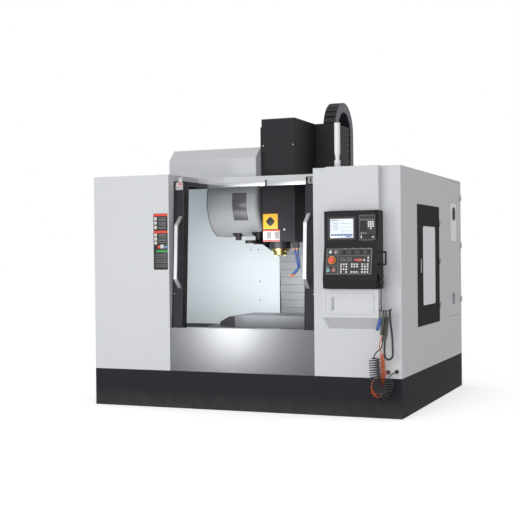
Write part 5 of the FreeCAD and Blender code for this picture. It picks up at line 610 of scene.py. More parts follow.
class Piece:
    """Closed shells gathered into one mesh object that rides on a body."""

    def __init__(self, name: str, finish: Surface, slot: str, body: str = "machine_frame") -> None:
        """Starts an empty piece.

        Args:
            name: object name.
            finish: what its surface is.
            slot: name of a material slot; the piece keeps it and does not use it.
            body: the body it rides on.
        """
        self.name, self.finish, self.slot, self.body = name, finish, slot, body
        self.points: list[np.ndarray] = []
        self.faces: list[tuple[int, ...]] = []
        self.count = 0

    def shell(self, rings: Rings) -> "Piece":
        """Adds a shell of rings, closed at both ends: quad (i, j) joins ring i to i + 1 and point j to j + 1."""
        n, m = rings.shape[:2]
        i, j = np.meshgrid(np.arange(n - 1), np.arange(m), indexing="ij")
        k = (j + 1) % m
        quads = np.stack([i * m + j, i * m + k, (i + 1) * m + k, (i + 1) * m + j], axis=2).reshape(-1, 4) + self.count
        self.faces += [tuple(q) for q in quads.tolist()]
        self.faces.append(tuple((self.count + np.arange(m)[::-1]).tolist()))
        self.faces.append(tuple((self.count + (n - 1) * m + np.arange(m)).tolist()))
        self.points.append(rings.reshape(-1, 3))
        self.count += n * m
        return self

    def set_at(self, face: Face, rings: Rings, places: Iterable[Pair], out: float = 0.0) -> "Piece":
        """Adds the same shell at each (x, z) on the face, `out` mm off it."""
        for x, z in places:
            self.shell(face.lay(rings, x, z, out))
        return self

    def plates(self, face: Face, rows: Iterable[Row], thick: float, corner: float, bevel: float,
               out: float = 0.0) -> "Piece":
        """Adds rounded plates.

        Args:
            face: the seat they lie on.
            rows: middle across, middle up, width and height of each, in mm.
            thick: their size off the seat.
            corner: radius of their corners.
            bevel: radius of their front edges.
            out: height of their seat over the face.

        Returns:
            The piece itself.
        """
        for x, z, width, height in rows:
            self.shell(face.lay(slab(width, height, thick, corner, bevel), x, z, out))
        return self

    def finish_up(self, smooth: float = 35.0) -> bpy.types.Object:
        """Makes the object, gives it its material and lets it ride.

        Args:
            smooth: edges that bend less than this many degrees are shaded smooth.

        Returns:
            The object.
        """
        mesh = bpy.data.meshes.new(self.name)
        mesh.from_pydata(np.concatenate(self.points).tolist(), [], self.faces)
        mesh.validate()
        mesh.shade_smooth()
        mesh.set_sharp_from_angle(angle=math.radians(smooth))
        made = linked(self.name, mesh)
        mesh.materials.append(self.finish.material())
        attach(made, self.body)
        LOG.info("%s: %d faces on %s", self.name, len(self.faces), self.body)
        return made


# ---- the machine's own nodes ----------------------------------------------------------------------------
DOOR_HEAD = at(0, -1090, 2040)
DOOR_FOOT = at(0, -1165, 722)


def beyond_leaf(out: float) -> Plane:
    """Plane `out` mm in front of the leaning face of the sliding doors."""
    lean = Vector((0.0, float(DOOR_HEAD[1] - DOOR_FOOT[1]), float(DOOR_HEAD[2] - DOOR_FOOT[2]))).normalized()
    n = Vector((1.0, 0.0, 0.0)).cross(lean)
    return n.x, n.y, n.z, float(n.dot(Vector(DOOR_FOOT))) + out * MM


def above(axis: int, value: float) -> Plane:
    """Plane square to an axis (0, 1 or 2); beyond it the coordinate is more than `value` mm."""
    return tuple(1.0 if k == axis else 0.0 for k in range(3)) + (float(at(value, value, value)[axis]),)


def below(axis: int, value: float) -> Plane:
    """Plane square to an axis (0, 1 or 2); beyond it the coordinate is less than `value` mm."""
    return tuple(-c for c in above(axis, value))


class Frame:
    """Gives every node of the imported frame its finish."""

    def __init__(self) -> None:
        """Sets out which finish each node has; a one-piece node with two finishes, or with painted shade or sheen on
        part of it, has zones.
        """
        leaf = (COVER_STEEL.colour, COVER_STEEL.rough, COVER_STEEL.metallic)
        upper_leaf = Zone((below(2, 1489.9), above(1, 360)), *leaf)
        lower_leaf = Zone((above(1, 375), below(1, 391), above(0, -219), below(0, 219)), *leaf)
        head = replace(HEAD_COAT, name="powder_coat_head_and_leaf", zones=(upper_leaf,))
        # Everything of the linings below 650 mm is a dark grey: painted shade low in the work zone.
        painted_shade_foot = Zone((below(2, 650),), "#4a4c51", 0.5)
        linings = replace(GUARD_COAT, name="enamel_guards_and_leaf", zones=(lower_leaf, painted_shade_foot))
        bow = Zone((beyond_leaf(2.5),), "#dcdde0", 0.34, 0.6)
        door = Finish("powder_coat_charcoal_door", "#2b282f", 0.48, Pattern.PEEL, ior=1.36, tone=0.05, zones=(bow,))
        side_grip = Zone((above(0, 1463), below(1, 0)), "#c9c9c4", 0.35, 0.6)
        knuckle = Zone((above(0, 1461), above(1, 150)), "#c6c8cb", 0.5)
        side_leaf = Finish("powder_coat_side_door", "#231e1c", 0.60, Pattern.PEEL, ior=1.18, zones=(side_grip, knuckle))
        vent = Zone((above(0, 1457), above(1, 700), below(1, 960)), "#fbfcfc", 0.45)
        cabinet_leaf = replace(LIGHT_COAT, name="powder_coat_cabinet_door", zones=(vent,))
        clear = Zone((above(2, 2150),), "#f1f3f4", 0.25)
        lamp = Finish("beacon_column", "#d9dcdf", 0.40, Pattern.SMOOTH, coat=0.3, zones=(clear,))
        spindle_ring = Zone((below(2, 1424.5),), "#b3a36a", 0.28, 0.95)
        nose = Finish("spindle_housing_black", "#3c3a3e", 0.42, Pattern.FEED, metallic=0.4, zones=(spindle_ring,))
        # The chain beyond x 404.5 mm, its right side, is a lighter blue-grey with some metal: a painted sheen on the
        # black polyamide.
        chain_side_sheen = Zone((above(0, 404.5),), "#6d6f78", 0.40, 0.3)
        chain = Finish("chain_black_polyamide", "#2b2c31", 0.45, Pattern.GRAIN, tone=0.08, patch_mm=60.0,
                       zones=(chain_side_sheen,))
        window = Zone((above(0, -410), below(0, -260), below(1, -330), above(2, 1699), below(2, 1961)), "#545359", 0.2)
        lip = Zone((below(0, -668),), "#3f4145", 0.45)
        drum = Finish("powder_coat_mid_grey", "#96999d", 0.50, Pattern.PEEL, tone=0.03, zones=(window, lip))
        station = Finish("moulded_station_shell", "#1d1c20", 0.48, Pattern.PEEL, ior=1.3)
        self.finishes: tuple[tuple[Surface, str], ...] = (
            (SKIRT_COAT, "base_skirt"), (linings, "interior_linings"), (APRON_STEEL, "front_apron"),
            (LIGHT_COAT, "magazine_hood enclosure_panels left_front_panel right_front_panel door_beam"),
            (LIGHT_COAT, "tool_box tool_box_door"), (door, "left_door right_door"),
            (DOOR_GLASS, "left_door_pane right_door_pane"), (side_leaf, "side_door"), (SIDE_GLASS, "side_door_pane"),
            (cabinet_leaf, "cabinet_door"), (LATCH_ZINC, "cabinet_latch"), (lamp, "signal_lamp"),
            (PAINTED_IRON, "bed_casting column_casting saddle_casting head_casting"), (TABLE_IRON, "work_table"),
            (GROUND_STEEL, "axis_drives magazine_disc tool_box_latch"), (DARK_COAT, "table_end_guards changer_gearbox"),
            (BLACK_OXIDE, "levelling_feet spindle_motor coolant_nozzles changer_shaft changer_arm"),
            (head, "head_cover"), (nose, "spindle_housing"), (BRASS_RING, "spindle_rotor"),
            (COVER_STEEL, "z_cover_slider"), (HEAD_COAT, "column_cover"), (chain, "cable_chain"),
            (drum, "magazine_cover"), (station, "pendant_housing"), (FILM_BLACK, "control_panels"),
            (ABS_BLACK, "screen_unit selector_knob_1 selector_knob_2 selector_knob_3 selector_knob_4"),
            (STOP_RED, "estop_button"), (ABS_GREEN, "push_button_1"), (ABS_PINK, "push_button_2"),
            (ABS_TEAL, "push_button_3"), (ABS_RED, "push_button_4"), (BLACK_NYLON, "line_fittings"),
            (GUN_BODY, "wash_guns"), (BLUE_ACETAL, "air_gun_lever"))

    def dress(self, nodes: dict[str, bpy.types.Object]) -> None:
        """Assigns each node's material to its slots.

        Args:
            nodes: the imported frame's nodes by name.
        """
        for finish, names in self.finishes:
            for name in names.split():
                nodes[name].data.materials.clear()
                nodes[name].data.materials.append(finish.material())
                LOG.info("%s: %s", name, finish.name)


# ---- sub-assemblies -------------------------------------------------------------------------------------
@dataclass
class EnclosureTrim:
    """What is fixed on the enclosure's front: the tall plate and the beam's bright strip."""

    front: float = -1203.0
    plate_x: float = -767.5
    plate_z: float = 1496.0
    plate_width: float = 143.0
    plate_height: float = 508.0
    plate_thick: float = 1.5
    beam: float = -593.0

    def plate(self) -> None:
        """The tall plate with its plain colour fields."""
        face = front_face(self.front)
        Piece("front_plate", FILM_BLACK, "black_plastic").plates(
            face, [(self.plate_x, self.plate_z, self.plate_width, self.plate_height)], self.plate_thick, 3,
            0.5).finish_up()
        band = self.plate_width - 2
        lines = [(18, z, 78, 4) for z in (1710, 1698, 1686, 1668, 1656, 1644, 1626, 1614, 1561, 1549, 1537, 1519,
                                          1507, 1489)]
        lines += [(0, z, 112, 3) for z in (1382, 1368, 1354, 1334, 1320, 1306, 1286, 1272)]
        signs = [(14, 1452, 34, 34), (-50, 1556, 28, 26), (-50, 1520, 28, 30), (-50, 1484, 28, 26),
                 (-50, 1702, 28, 30), (-50, 1664, 28, 28), (-50, 1624, 28, 30)]
        for finish, word, fields in (
                (FILM_RED, "red", [(0, 1737, band, 22), (0, 1583, band, 22), (-18, 1449, 22, 26)]),
                (FILM_GREEN, "green", [(12, 1409, band - 24, 22)]), (FILM_WHITE, "white", signs),
                (FILM_BLUE, "blue", [(52, 1447, 32, 24)]), (FILM_GREY, "grey", lines)):
            Piece(f"front_plate_field_{word}", finish, "button_plastic").plates(
                face, [(self.plate_x + x, z, w, h) for x, z, w, h in fields], 0.8, 1.5, 0.3,
                self.plate_thick).finish_up()

    def build(self) -> None:
        """Builds the plate, the beam's strip and the strip's joint."""
        self.plate()
        beam = front_face(self.beam)
        Piece("beam_strip", BRIGHT_STEEL, "stainless").plates(
            beam, [((x0 + x1) / 2, 2026, x1 - x0, 34) for x0, x1 in ((-676, 9), (25, 416))], 3, 1, 0.6).finish_up()
        Piece("beam_strip_joint", BLACK_NYLON, "black_plastic").plates(
            beam, [(17, 2034, 15, 54)], 6, 2, 1).finish_up()


@dataclass
class GuardHeader:
    """Upper guard sheets that close the work zone from the guards' top to the roof, left of the magazine."""

    left: float = -1338.5
    front: float = -968.0
    back: float = 390.0
    right: float = -690.0
    foot: float = 1980.5
    top: float = 2094.0

    def build(self) -> None:
        """Builds the left sheet and the rear one."""
        header = Piece("guard_header", GUARD_COAT, "white_paint")
        for face, low, high in ((side_face(self.left), self.front, self.back),
                                (front_face(self.back), self.left, self.right)):
            header.plates(face, [((low + high) / 2, (self.foot + self.top) / 2, high - low, self.top - self.foot)],
                          1.5, 2, 0.5)
        header.finish_up()


@dataclass
class PanelScrews:
    """Button-head screws that hold the guards and covers."""

    radius: float = 7.0
    rise: float = 3.5

    def head(self) -> Rings:
        """Button head: a quarter ellipse of height `rise`, with a hexagon socket drawn in at its top."""
        t = np.linspace(0, math.pi / 2 * 0.8, 6)
        profile = [(self.radius, 0.0)] + [(self.radius * math.cos(s), self.rise * math.sin(s)) for s in t[1:]]
        top = profile[-1]
        profile += [(top[0] * 0.9, top[1]), (top[0] * 0.85, top[1] - 1.6)]
        return lathe(profile, 18)

    def build(self) -> None:
        """Sets the screws on the guards and the head's cover."""
        Piece("guard_screws", BLACK_OXIDE, "black_steel").set_at(
            front_face(392), self.head(),
            ((-556, 1419), (-470, 1419), (-453, 1092), (-455, 903), (-514, 1478), (-470, 1530))).finish_up()
        cover = front_face(-330)
        plug = Piece("head_cover_screws", BRIGHT_STEEL, "steel", "spindle_head")
        for x, z, size in ((94, 1607, 1.5), (-113, 2407, 1.0), (190, 2407, 1.0)):
            plug.set_at(cover, self.head() * size, [(x, z)])
        plug.finish_up()


@dataclass
class DoorTrim:
    """Rubber edge and fittings on a sliding door's leaning face."""

    side: int
    near: float

    def build(self) -> None:
        """Builds the seal strip, the screws and the fittings at the stile's head."""
        word = "left" if self.side < 0 else "right"
        body = f"{word}_door"
        lean = (DOOR_HEAD - DOOR_FOOT) / np.linalg.norm(DOOR_HEAD - DOOR_FOOT)
        face = Face(tuple(DOOR_FOOT), (1, 0, 0), tuple(float(c) for c in lean))
        length = float(np.linalg.norm(DOOR_HEAD - DOOR_FOOT)) / MM
        Piece(f"{word}_door_seal", RUBBER, "rubber", body).plates(
            face, [(self.near + self.side * 5.5, length / 2, 9, length - 12)], 4, 2, 1.2).finish_up()
        Piece(f"{word}_door_screws", BRIGHT_STEEL, "steel", body).set_at(
            face, PanelScrews(5.5, 2.5).head(),
            [(self.near + self.side * 84, length * share) for share in (0.23, 0.5, 0.71)]).finish_up()
        if self.side > 0:
            self.switch(face, length, body)
        else:
            self.corner(face, length, body)

    def switch(self, face: Face, length: float, body: str) -> None:
        """The guard switch at the right door's head, with its dark mouth and rim.

        Args:
            face: the leaf's outer face.
            length: the leaf's length along its lean, in mm.
            body: the body that the door is.
        """
        x, up = 640, length - 34
        Piece("door_switch", FILM_GREY, "black_plastic", body).plates(face, [(x, up, 56, 64)], 16, 4, 2).finish_up()
        Piece("door_switch_mouth", ABS_BLACK, "black_plastic", body).plates(
            face, [(x, up, 14, 40)], 2, 3, 1, 16).plates(
            face, [(x, up + 31, 60, 5), (x, up - 31, 60, 5), (x - 29, up, 5, 66), (x + 29, up, 5, 66)], 18, 1,
            0.6).finish_up()

    def corner(self, face: Face, length: float, body: str) -> None:
        """The stop and the small plate with its plain fields at the left door's head.

        Args:
            face: the leaf's outer face.
            length: the leaf's length along its lean, in mm.
            body: the body that the door is.
        """
        for name, finish, slot, rows, shape in (
                ("stile_stop", BRIGHT_STEEL, "steel", [(42, 14, 40, 46)], (12, 3, 1.5, 2)),
                ("stile_plate", FILM_WHITE, "button_plastic", [(52, -44, 70, 66)], (1.2, 3, 0.4)),
                ("stile_plate_field", FILM_RED, "red_plastic", [(40, -24, 34, 14)], (0.6, 2, 0.2, 1.2)),
                ("stile_plate_rules", FILM_GREY, "button_plastic", [(30 + 14 * k, -56, 7, 36) for k in range(4)],
                 (0.6, 1, 0.2, 1.2))):
            Piece(name, finish, slot, body).plates(
                face, [(self.near + self.side * x, length + up, w, h) for x, up, w, h in rows], *shape).finish_up()


@dataclass
class HeadPlates:
    """Two plates on the head's cover, kept as plain colour fields."""

    front: float = -330.0
    thick: float = 1.2
    yellow: Pair = (-47, 1684)

    def build(self) -> None:
        """Builds the yellow plate with a plain dark diamond, and the white plate with red bands."""
        face = front_face(self.front)
        body = "spindle_head"
        Piece("head_plate_yellow", FILM_YELLOW, "button_plastic", body).plates(
            face, [(*self.yellow, 150, 144)], self.thick, 3, 0.4).finish_up()
        turn = np.array([[1, 1, 0], [-1, 1, 0], [0, 0, math.sqrt(2)]]) / math.sqrt(2)
        Piece("head_plate_diamond", FILM_BLACK, "black_plastic", body).set_at(
            face, slab(70, 70, 0.7, 14, 0.3) @ turn, [self.yellow], self.thick).finish_up()
        Piece("head_plate_white", FILM_WHITE, "button_plastic", body).plates(
            face, [(-38, 1549, 170, 112)], self.thick, 3, 0.4).finish_up()
        Piece("head_plate_bands", FILM_RED, "red_plastic", body).plates(
            face, [(-38, z, 168, 12) for z in (1598, 1501)], 0.7, 1, 0.3, self.thick).finish_up()
        Piece("head_plate_fields", FILM_GREY, "button_plastic", body).plates(
            face, [(x, 1549, 44, 66) for x in (-62, 18)], 0.7, 4, 0.3, self.thick).finish_up()


@dataclass
class CoverFolds:
    """Pressed beads across the telescopic cover's three leaves, in front of the column."""

    width: float = 424.0
    bead: float = 6.0
    proud: float = 2.2
    leaves: tuple[tuple[str, float, Triple], ...] = (
        ("spindle_head", 366.0, (1215.0, 1293.0, 1371.0)),
        ("z_cover", 371.0, (983.0, 1059.0, 1137.0)),
        ("machine_frame", 376.0, (745.0, 825.0, 905.0)))

    def build(self) -> None:
        """Lays each leaf's beads on its front face."""
        for body, depth, heights in self.leaves:
            Piece(f"cover_beads_{body}", COVER_STEEL, "stainless", body).plates(
                front_face(depth), [(0, z, self.width, self.bead) for z in heights], self.proud, 2, 2.0).finish_up()


@dataclass
class OperatorStation:
    """Screen picture, key pads, rules and rims on the operator's station."""

    front: float = -1362.0
    knee: float = 1455.0
    lip_y: float = -1412.0
    lip_z: float = 1158.0
    film: float = 4.0
    cap: Triple = (3.4, 3, 1.2)             # rise, corner and bevel of a key cap
    screen_at: Pair = (997.0, 1581.0)
    dials: tuple[float, ...] = (1018, 1094, 1164, 1226)     # middles of the rotary selectors
    dial_radius: float = 27.0

    def slope(self) -> Face:
        """The leaning face, with its origin at the knee."""
        lean = Vector((0, self.front - self.lip_y, self.knee - self.lip_z)).normalized()
        return Face(tuple(at(0, self.front, self.knee)), (1, 0, 0), tuple(lean))

    def down(self, z: float) -> float:
        """Distance along the slope, from the knee, for a height z."""
        return (z - self.knee) * math.hypot(self.lip_y - self.front, self.knee - self.lip_z) / (self.knee - self.lip_z)

    def screen(self) -> None:
        """Lit picture: a pale sheet with faint blocks, a dark blue row of soft keys and a pale foot."""
        face = front_face(self.front - 1.0)
        x, z = self.screen_at
        Piece("screen_picture", SCREEN_WHITE, "screen").plates(face, [(x, z, 202, 159)], 1.0, 1, 0.3).finish_up()
        Piece("screen_soft_keys", SCREEN_BLUE, "screen").plates(
            face, [(x - 81 + 27 * k, z - 54, 24, 15) for k in range(7)], 0.5, 2, 0.2, 1.0).plates(
            face, [(x + 58, z - 68, 44, 9)], 0.5, 1, 0.2, 1.0).finish_up()
        blocks = [(-62, 66, 66, 6)] + [(-52, v, 44, 4) for v in (40, 24, 8, -8)]
        blocks += [(40, v, 90, 3) for v in (40, 10, -20)]
        Piece("screen_blocks", SCREEN_GREY, "screen").plates(
            face, [(x + u, z + v, w, h) for u, v, w, h in blocks], 0.4, 0.8, 0.1, 1.0).finish_up()

    def key_pad(self) -> None:
        """Small keys beside the screen: a grey row, a pale block of nine with one below, and dark letter keys."""
        face = front_face(self.front - 3.0)
        pale = [(1229 + 18.5 * col, 1630 - 17.5 * row, 15, 14) for row in range(3) for col in range(3)]
        pale += [(x, z, 14, 13) for x, z in ((1247.5, 1577), (1166, 1506), (1263, 1506))]
        Piece("key_pad_pale_keys", ABS_PALE_KEY, "keys").plates(face, pale, *self.cap).finish_up()
        Piece("key_pad_grey_keys", ABS_GREY_KEY, "keys").plates(
            face, [(1166 + 19.6 * col, 1649, 13, 11) for col in range(6)], 3.4, 2.5, 1.2).plates(
            face, [(x, z, 13, 12) for x, z in ((1166, 1540), (1184, 1540), (1166, 1523), (1204, 1540))],
            *self.cap).finish_up()
        dark = [(1166 + 17 * col, 1630 - 16.5 * row, 14, 13) for row in range(5) for col in range(3)]
        dark += [(1189 + 17 * col, 1521 - 16 * row, 14, 13) for row in range(2) for col in range(4)]
        Piece("key_pad_dark_keys", DARK_COAT, "keys").plates(face, dark, *self.cap).finish_up()
        rules = [(1215.5, z, 131, 2) for z in (1686, 1483)] + [(x, 1584.5, 2, 204) for x in (1150, 1281)]
        Piece("key_pad_rules", FILM_GREY, "keys").plates(face, rules, 0.6, 0.5, 0.2).finish_up()

    def rules(self, face: Face) -> None:
        """Pale rules round the operator plate's fields, and the dots and bar round each dial.

        Args:
            face: the plate's seat.
        """
        left, split, right = 873.0, 972.0, 1257.0
        top, low = -45.0, -253.0
        across, up, wide, high = (left + right) / 2, (top + low) / 2, right - left, top - low
        rules = Piece("operator_plate_rules", FILM_RULE, "keys").plates(
            face, [(across, top, wide, 3), (across, low, wide, 3), (left, up, 3, high), (right, up, 3, high),
                   (split, up, 2.5, high), (across, self.down(1355), wide, 2),
                   ((left + split) / 2, self.down(1277), split - left, 2)], 0.7, 0.5, 0.2, self.film)
        for x in self.dials:
            turns = [math.radians(210 - 30 * k) for k in range(9)]
            rules.plates(face, [(x + self.dial_radius * math.cos(a), self.down(1389) + self.dial_radius * math.sin(a),
                                 5, 5) for a in turns], 0.7, 2, 0.2, self.film)
            rules.plates(face, [(x + 8, self.down(1414), 22, 5)], 0.7, 1, 0.2, self.film)
        rules.finish_up()

    def caps(self, keys: Iterable[Triple]) -> list[Row]:
        """Square cap of each key, which is told by its block's left end, its column and its height."""
        return [(x0 + 23 * column, self.down(z), 14.4, 14.4) for x0, column, z in keys]

    def plate(self) -> None:
        """Key caps, lit digits, stop ring and button rims on the operator's plate."""
        face = self.slope()
        self.rules(face)
        blank = {(1000, 1, 1221), (1092, 0, 1243), (1092, 1, 1243), (1092, 2, 1243)}
        marked = {(1000, 1, 1265), (1181, 1, 1284)}
        keys = [(x0, col, z) for x0 in (1000, 1092, 1181) for col in range(3) for z in (1284, 1265, 1243, 1221)]
        pale = [key for key in keys if key not in blank | marked]
        Piece("operator_pale_keys", ABS_PALE_KEY, "keys").plates(
            face, self.caps(pale), *self.cap, self.film).plates(
            face, [(x, self.down(z), 15, 15) for x, z in ((1230, 1338), (1230, 1314), (1196, 1318))], 4, 3.5, 1.4,
            self.film).finish_up()
        Piece("operator_red_keys", ABS_PINK, "keys").plates(
            face, self.caps(sorted(marked)), *self.cap, self.film).finish_up()
        Piece("operator_lamp_keys", ABS_GREY_KEY, "keys").plates(
            face, [(x0 + 16 * col, self.down(1336 - 12 * row), 8, 8)
                   for x0 in (998, 1052) for col in range(3) for row in range(3)], 1.6, 2, 0.6, self.film).finish_up()
        Piece("operator_digits", DISPLAY_RED, "screen").plates(
            face, [(1143, self.down(1320), 66, 20)], 1.4, 3, 0.5, self.film).finish_up()
        Piece("stop_ring", STOP_YELLOW, "button_plastic").set_at(
            face, lathe([(33, 0), (33, 2.0), (32, 3.0), (27.6, 3.0), (27, 2.2), (27, 0.2)], 36),
            [(917, self.down(1318))], self.film).finish_up()
        Piece("button_rims", BRIGHT_STEEL, "steel").set_at(
            face, lathe([(14.5, 0), (14.5, 2.0), (13.6, 3.0), (12.2, 3.0), (11.7, 2.2), (11.7, 0.2)], 28),
            [(x, self.down(z)) for x, z in ((904, 1385), (951, 1385), (889, 1235), (937, 1236))],
            self.film).finish_up()
        marks = ((904, 1410, 26), (951, 1410, 26), (889, 1262, 26), (937, 1262, 26), (917, 1350, 40))
        Piece("field_marks", FILM_GREY, "keys").plates(
            face, [(x, self.down(z), w, 4) for x, z, w in marks], 0.7, 1, 0.2, self.film).finish_up()

    def build(self) -> None:
        """Builds all that sits on the station, and the two round cable plugs on its right wall."""
        self.screen()
        self.key_pad()
        self.plate()
        body = lathe([(15, 0), (15, 18), (18.5, 21), (18.5, 44), (16.5, 47), (12, 49), (11, 58)], 20)
        Piece("station_plugs", BLACK_NYLON, "black_plastic").set_at(
            side_face(1286.0), body, ((-1340, 1191), (-1340, 1136))).finish_up()


@dataclass
class CoolantHoses:
    """Segmented hoses under the head: ball-and-socket links with a round spout at the end."""

    link: float = 11.0
    radius: float = 8.3
    sides: int = 16

    def build(self) -> None:
        """Dresses both hoses and the manifold's unions."""
        y = -220.0
        foot = 1490.0
        links = Piece("coolant_links", BLUE_ACETAL, "blue_plastic", "spindle_head")
        spouts = Piece("coolant_spouts", ORANGE_ACETAL, "blue_plastic", "spindle_head")
        unions = Piece("coolant_unions", ORANGE_ACETAL, "blue_plastic", "spindle_head")
        for start, knee, tip in (((152, -62), (192, -250), (122, -318)), ((184, -62), (206, -240), (150, -312))):
            corners = [at(p[0], y, foot + p[1]) for p in (start, knee, tip)]
            way = np.concatenate([np.linspace(corners[0], corners[1], 90), np.linspace(corners[1], corners[2], 50)[1:]])
            soft = way.copy()
            for _ in range(60):
                soft[1:-1] = (soft[:-2] + soft[1:-1] * 2 + soft[2:]) / 4
            run = np.concatenate([[0], np.cumsum(np.linalg.norm(np.diff(soft, axis=0), axis=1))]) / MM
            share = (run % self.link) / self.link
            # each link swells to a ball in its first two thirds and draws in to a waist in the last
            bulge = np.where(share < 0.66, np.sqrt(np.clip(1 - ((share - 0.33) / 0.45) ** 2, 0, 1)), 0.72)
            links.shell(tube(soft, self.radius * (0.86 + 0.22 * bulge) * MM, self.sides))
            end = (corners[2] - corners[1]) / np.linalg.norm(corners[2] - corners[1])
            line = corners[2] + end * np.linspace(-6, 27, 12)[:, None] * MM
            spouts.shell(tube(line, np.interp(np.linspace(0, 1, 12), [0, 0.3, 0.35, 1], [9.6, 9.6, 8.0, 4.6]) * MM,
                              self.sides))
            line = corners[0] + np.array([0, 0, -1.0]) * np.linspace(-4, 20, 8)[:, None] * MM
            unions.shell(tube(line, np.array([12, 12, 12, 11, 9.8, 9.8, 9.4, 8.8]) * MM, 6))
        links.finish_up()
        spouts.finish_up()
        unions.finish_up()


@dataclass
class ToolBoxTrim:
    """Black hood and slot of the tool box's slim latch."""

    seat: float = -1365.0

    def build(self) -> None:
        """Builds the latch's two ends."""
        Piece("tool_box_latch_ends", BLACK_NYLON, "black_plastic", "tool_box_latch").plates(
            front_face(self.seat), [(908, 1000, 20, 14), (908, 912, 20, 8)], 4, 3, 1.4).finish_up()


@dataclass
class LeverGrip:
    """Moulded cover on the air gun's squeeze lever, which leans as the lever does."""

    front: float = -1346.5
    middle: Pair = (1303.0, 790.0)
    lean: float = 0.27

    def build(self) -> None:
        """Builds the cover in front of the gun."""
        leaning = slab(30, 100, 9, 11, 3) @ np.array([[1, 0, 0], [self.lean, 1, 0], [0, 0, 1]])
        Piece("air_gun_lever_grip", BLUE_ACETAL, "blue_plastic", "air_gun_lever").shell(
            front_face(self.front).lay(leaning, *self.middle)).finish_up()


@dataclass
class PanelSeams:
    """Where the enclosure's plain back and left side are joined: upright seams and the screws beside them."""

    back: float = 1203.0
    left: float = -1456.0
    low: float = 352.0
    high: float = 2086.0
    seam: float = 4.0
    pitch: float = 340.0
    beside: float = 26.0

    def build(self) -> None:
        """Lays the seams' sealing strips and sets a row of screws on each side of them."""
        rear = Face(tuple(at(0, self.back, 0)), (-1, 0, 0), (0, 0, 1))
        flank = Face(tuple(at(self.left, 0, 0)), (0, -1, 0), (0, 0, 1))
        strips = Piece("panel_seams", RUBBER, "rubber")
        screws = Piece("panel_seam_screws", BRIGHT_STEEL, "steel")
        rows = np.arange(self.low + 60, self.high - 40, self.pitch)
        for face, places in ((rear, (-728.0, 0.0, 728.0)), (flank, (-400.0, 400.0))):
            for u in places:
                strips.plates(face, [(u, (self.low + self.high) / 2, self.seam, self.high - self.low)], 0.8, 1, 0.3)
                screws.set_at(face, PanelScrews().head(),
                              [(u + off, v) for v in rows for off in (-self.beside, self.beside)])
        strips.finish_up()
        screws.finish_up()


@dataclass
class ServiceSide:
    """Filter opening on the cabinet door and the rubber profile round the service door's window."""

    filter_seat: float = 1461.0
    door: float = 1456.0
    window: tuple[float, ...] = (-454.0, 28.0, 903.0, 1610.0)   # least and greatest Y, then Z
    bend: float = 32.0

    def build(self) -> None:
        """Builds the filter's dark insert and the window's seal."""
        Piece("filter_insert", RUBBER, "black_plastic", "cabinet_door").plates(
            side_face(self.filter_seat), [(842, 1757, 128, 132)], 3, 46, 1).finish_up()
        seal = Piece("side_window_seal", RUBBER, "rubber", "side_door")
        near, far, low, high = self.window
        half = np.array([far - near, high - low]) / 2 + 4 - self.bend
        section = ((-5, 0.2), (5, 0.2), (4, 3.4), (-3, 3.6))
        rings = []
        for quarter, signs in enumerate(((1, 1), (-1, 1), (-1, -1), (1, -1))):
            for a in np.radians(np.linspace(0, 90, 8) + 90 * quarter):
                out = np.array([math.cos(a), math.sin(a)])
                middle = half * signs + out * self.bend
                rings.append([(*(middle + out * width), rise) for width, rise in section])
        seal.shell(side_face(self.door).lay(np.array(rings + rings[:1]), (near + far) / 2, (low + high) / 2))
        seal.finish_up()


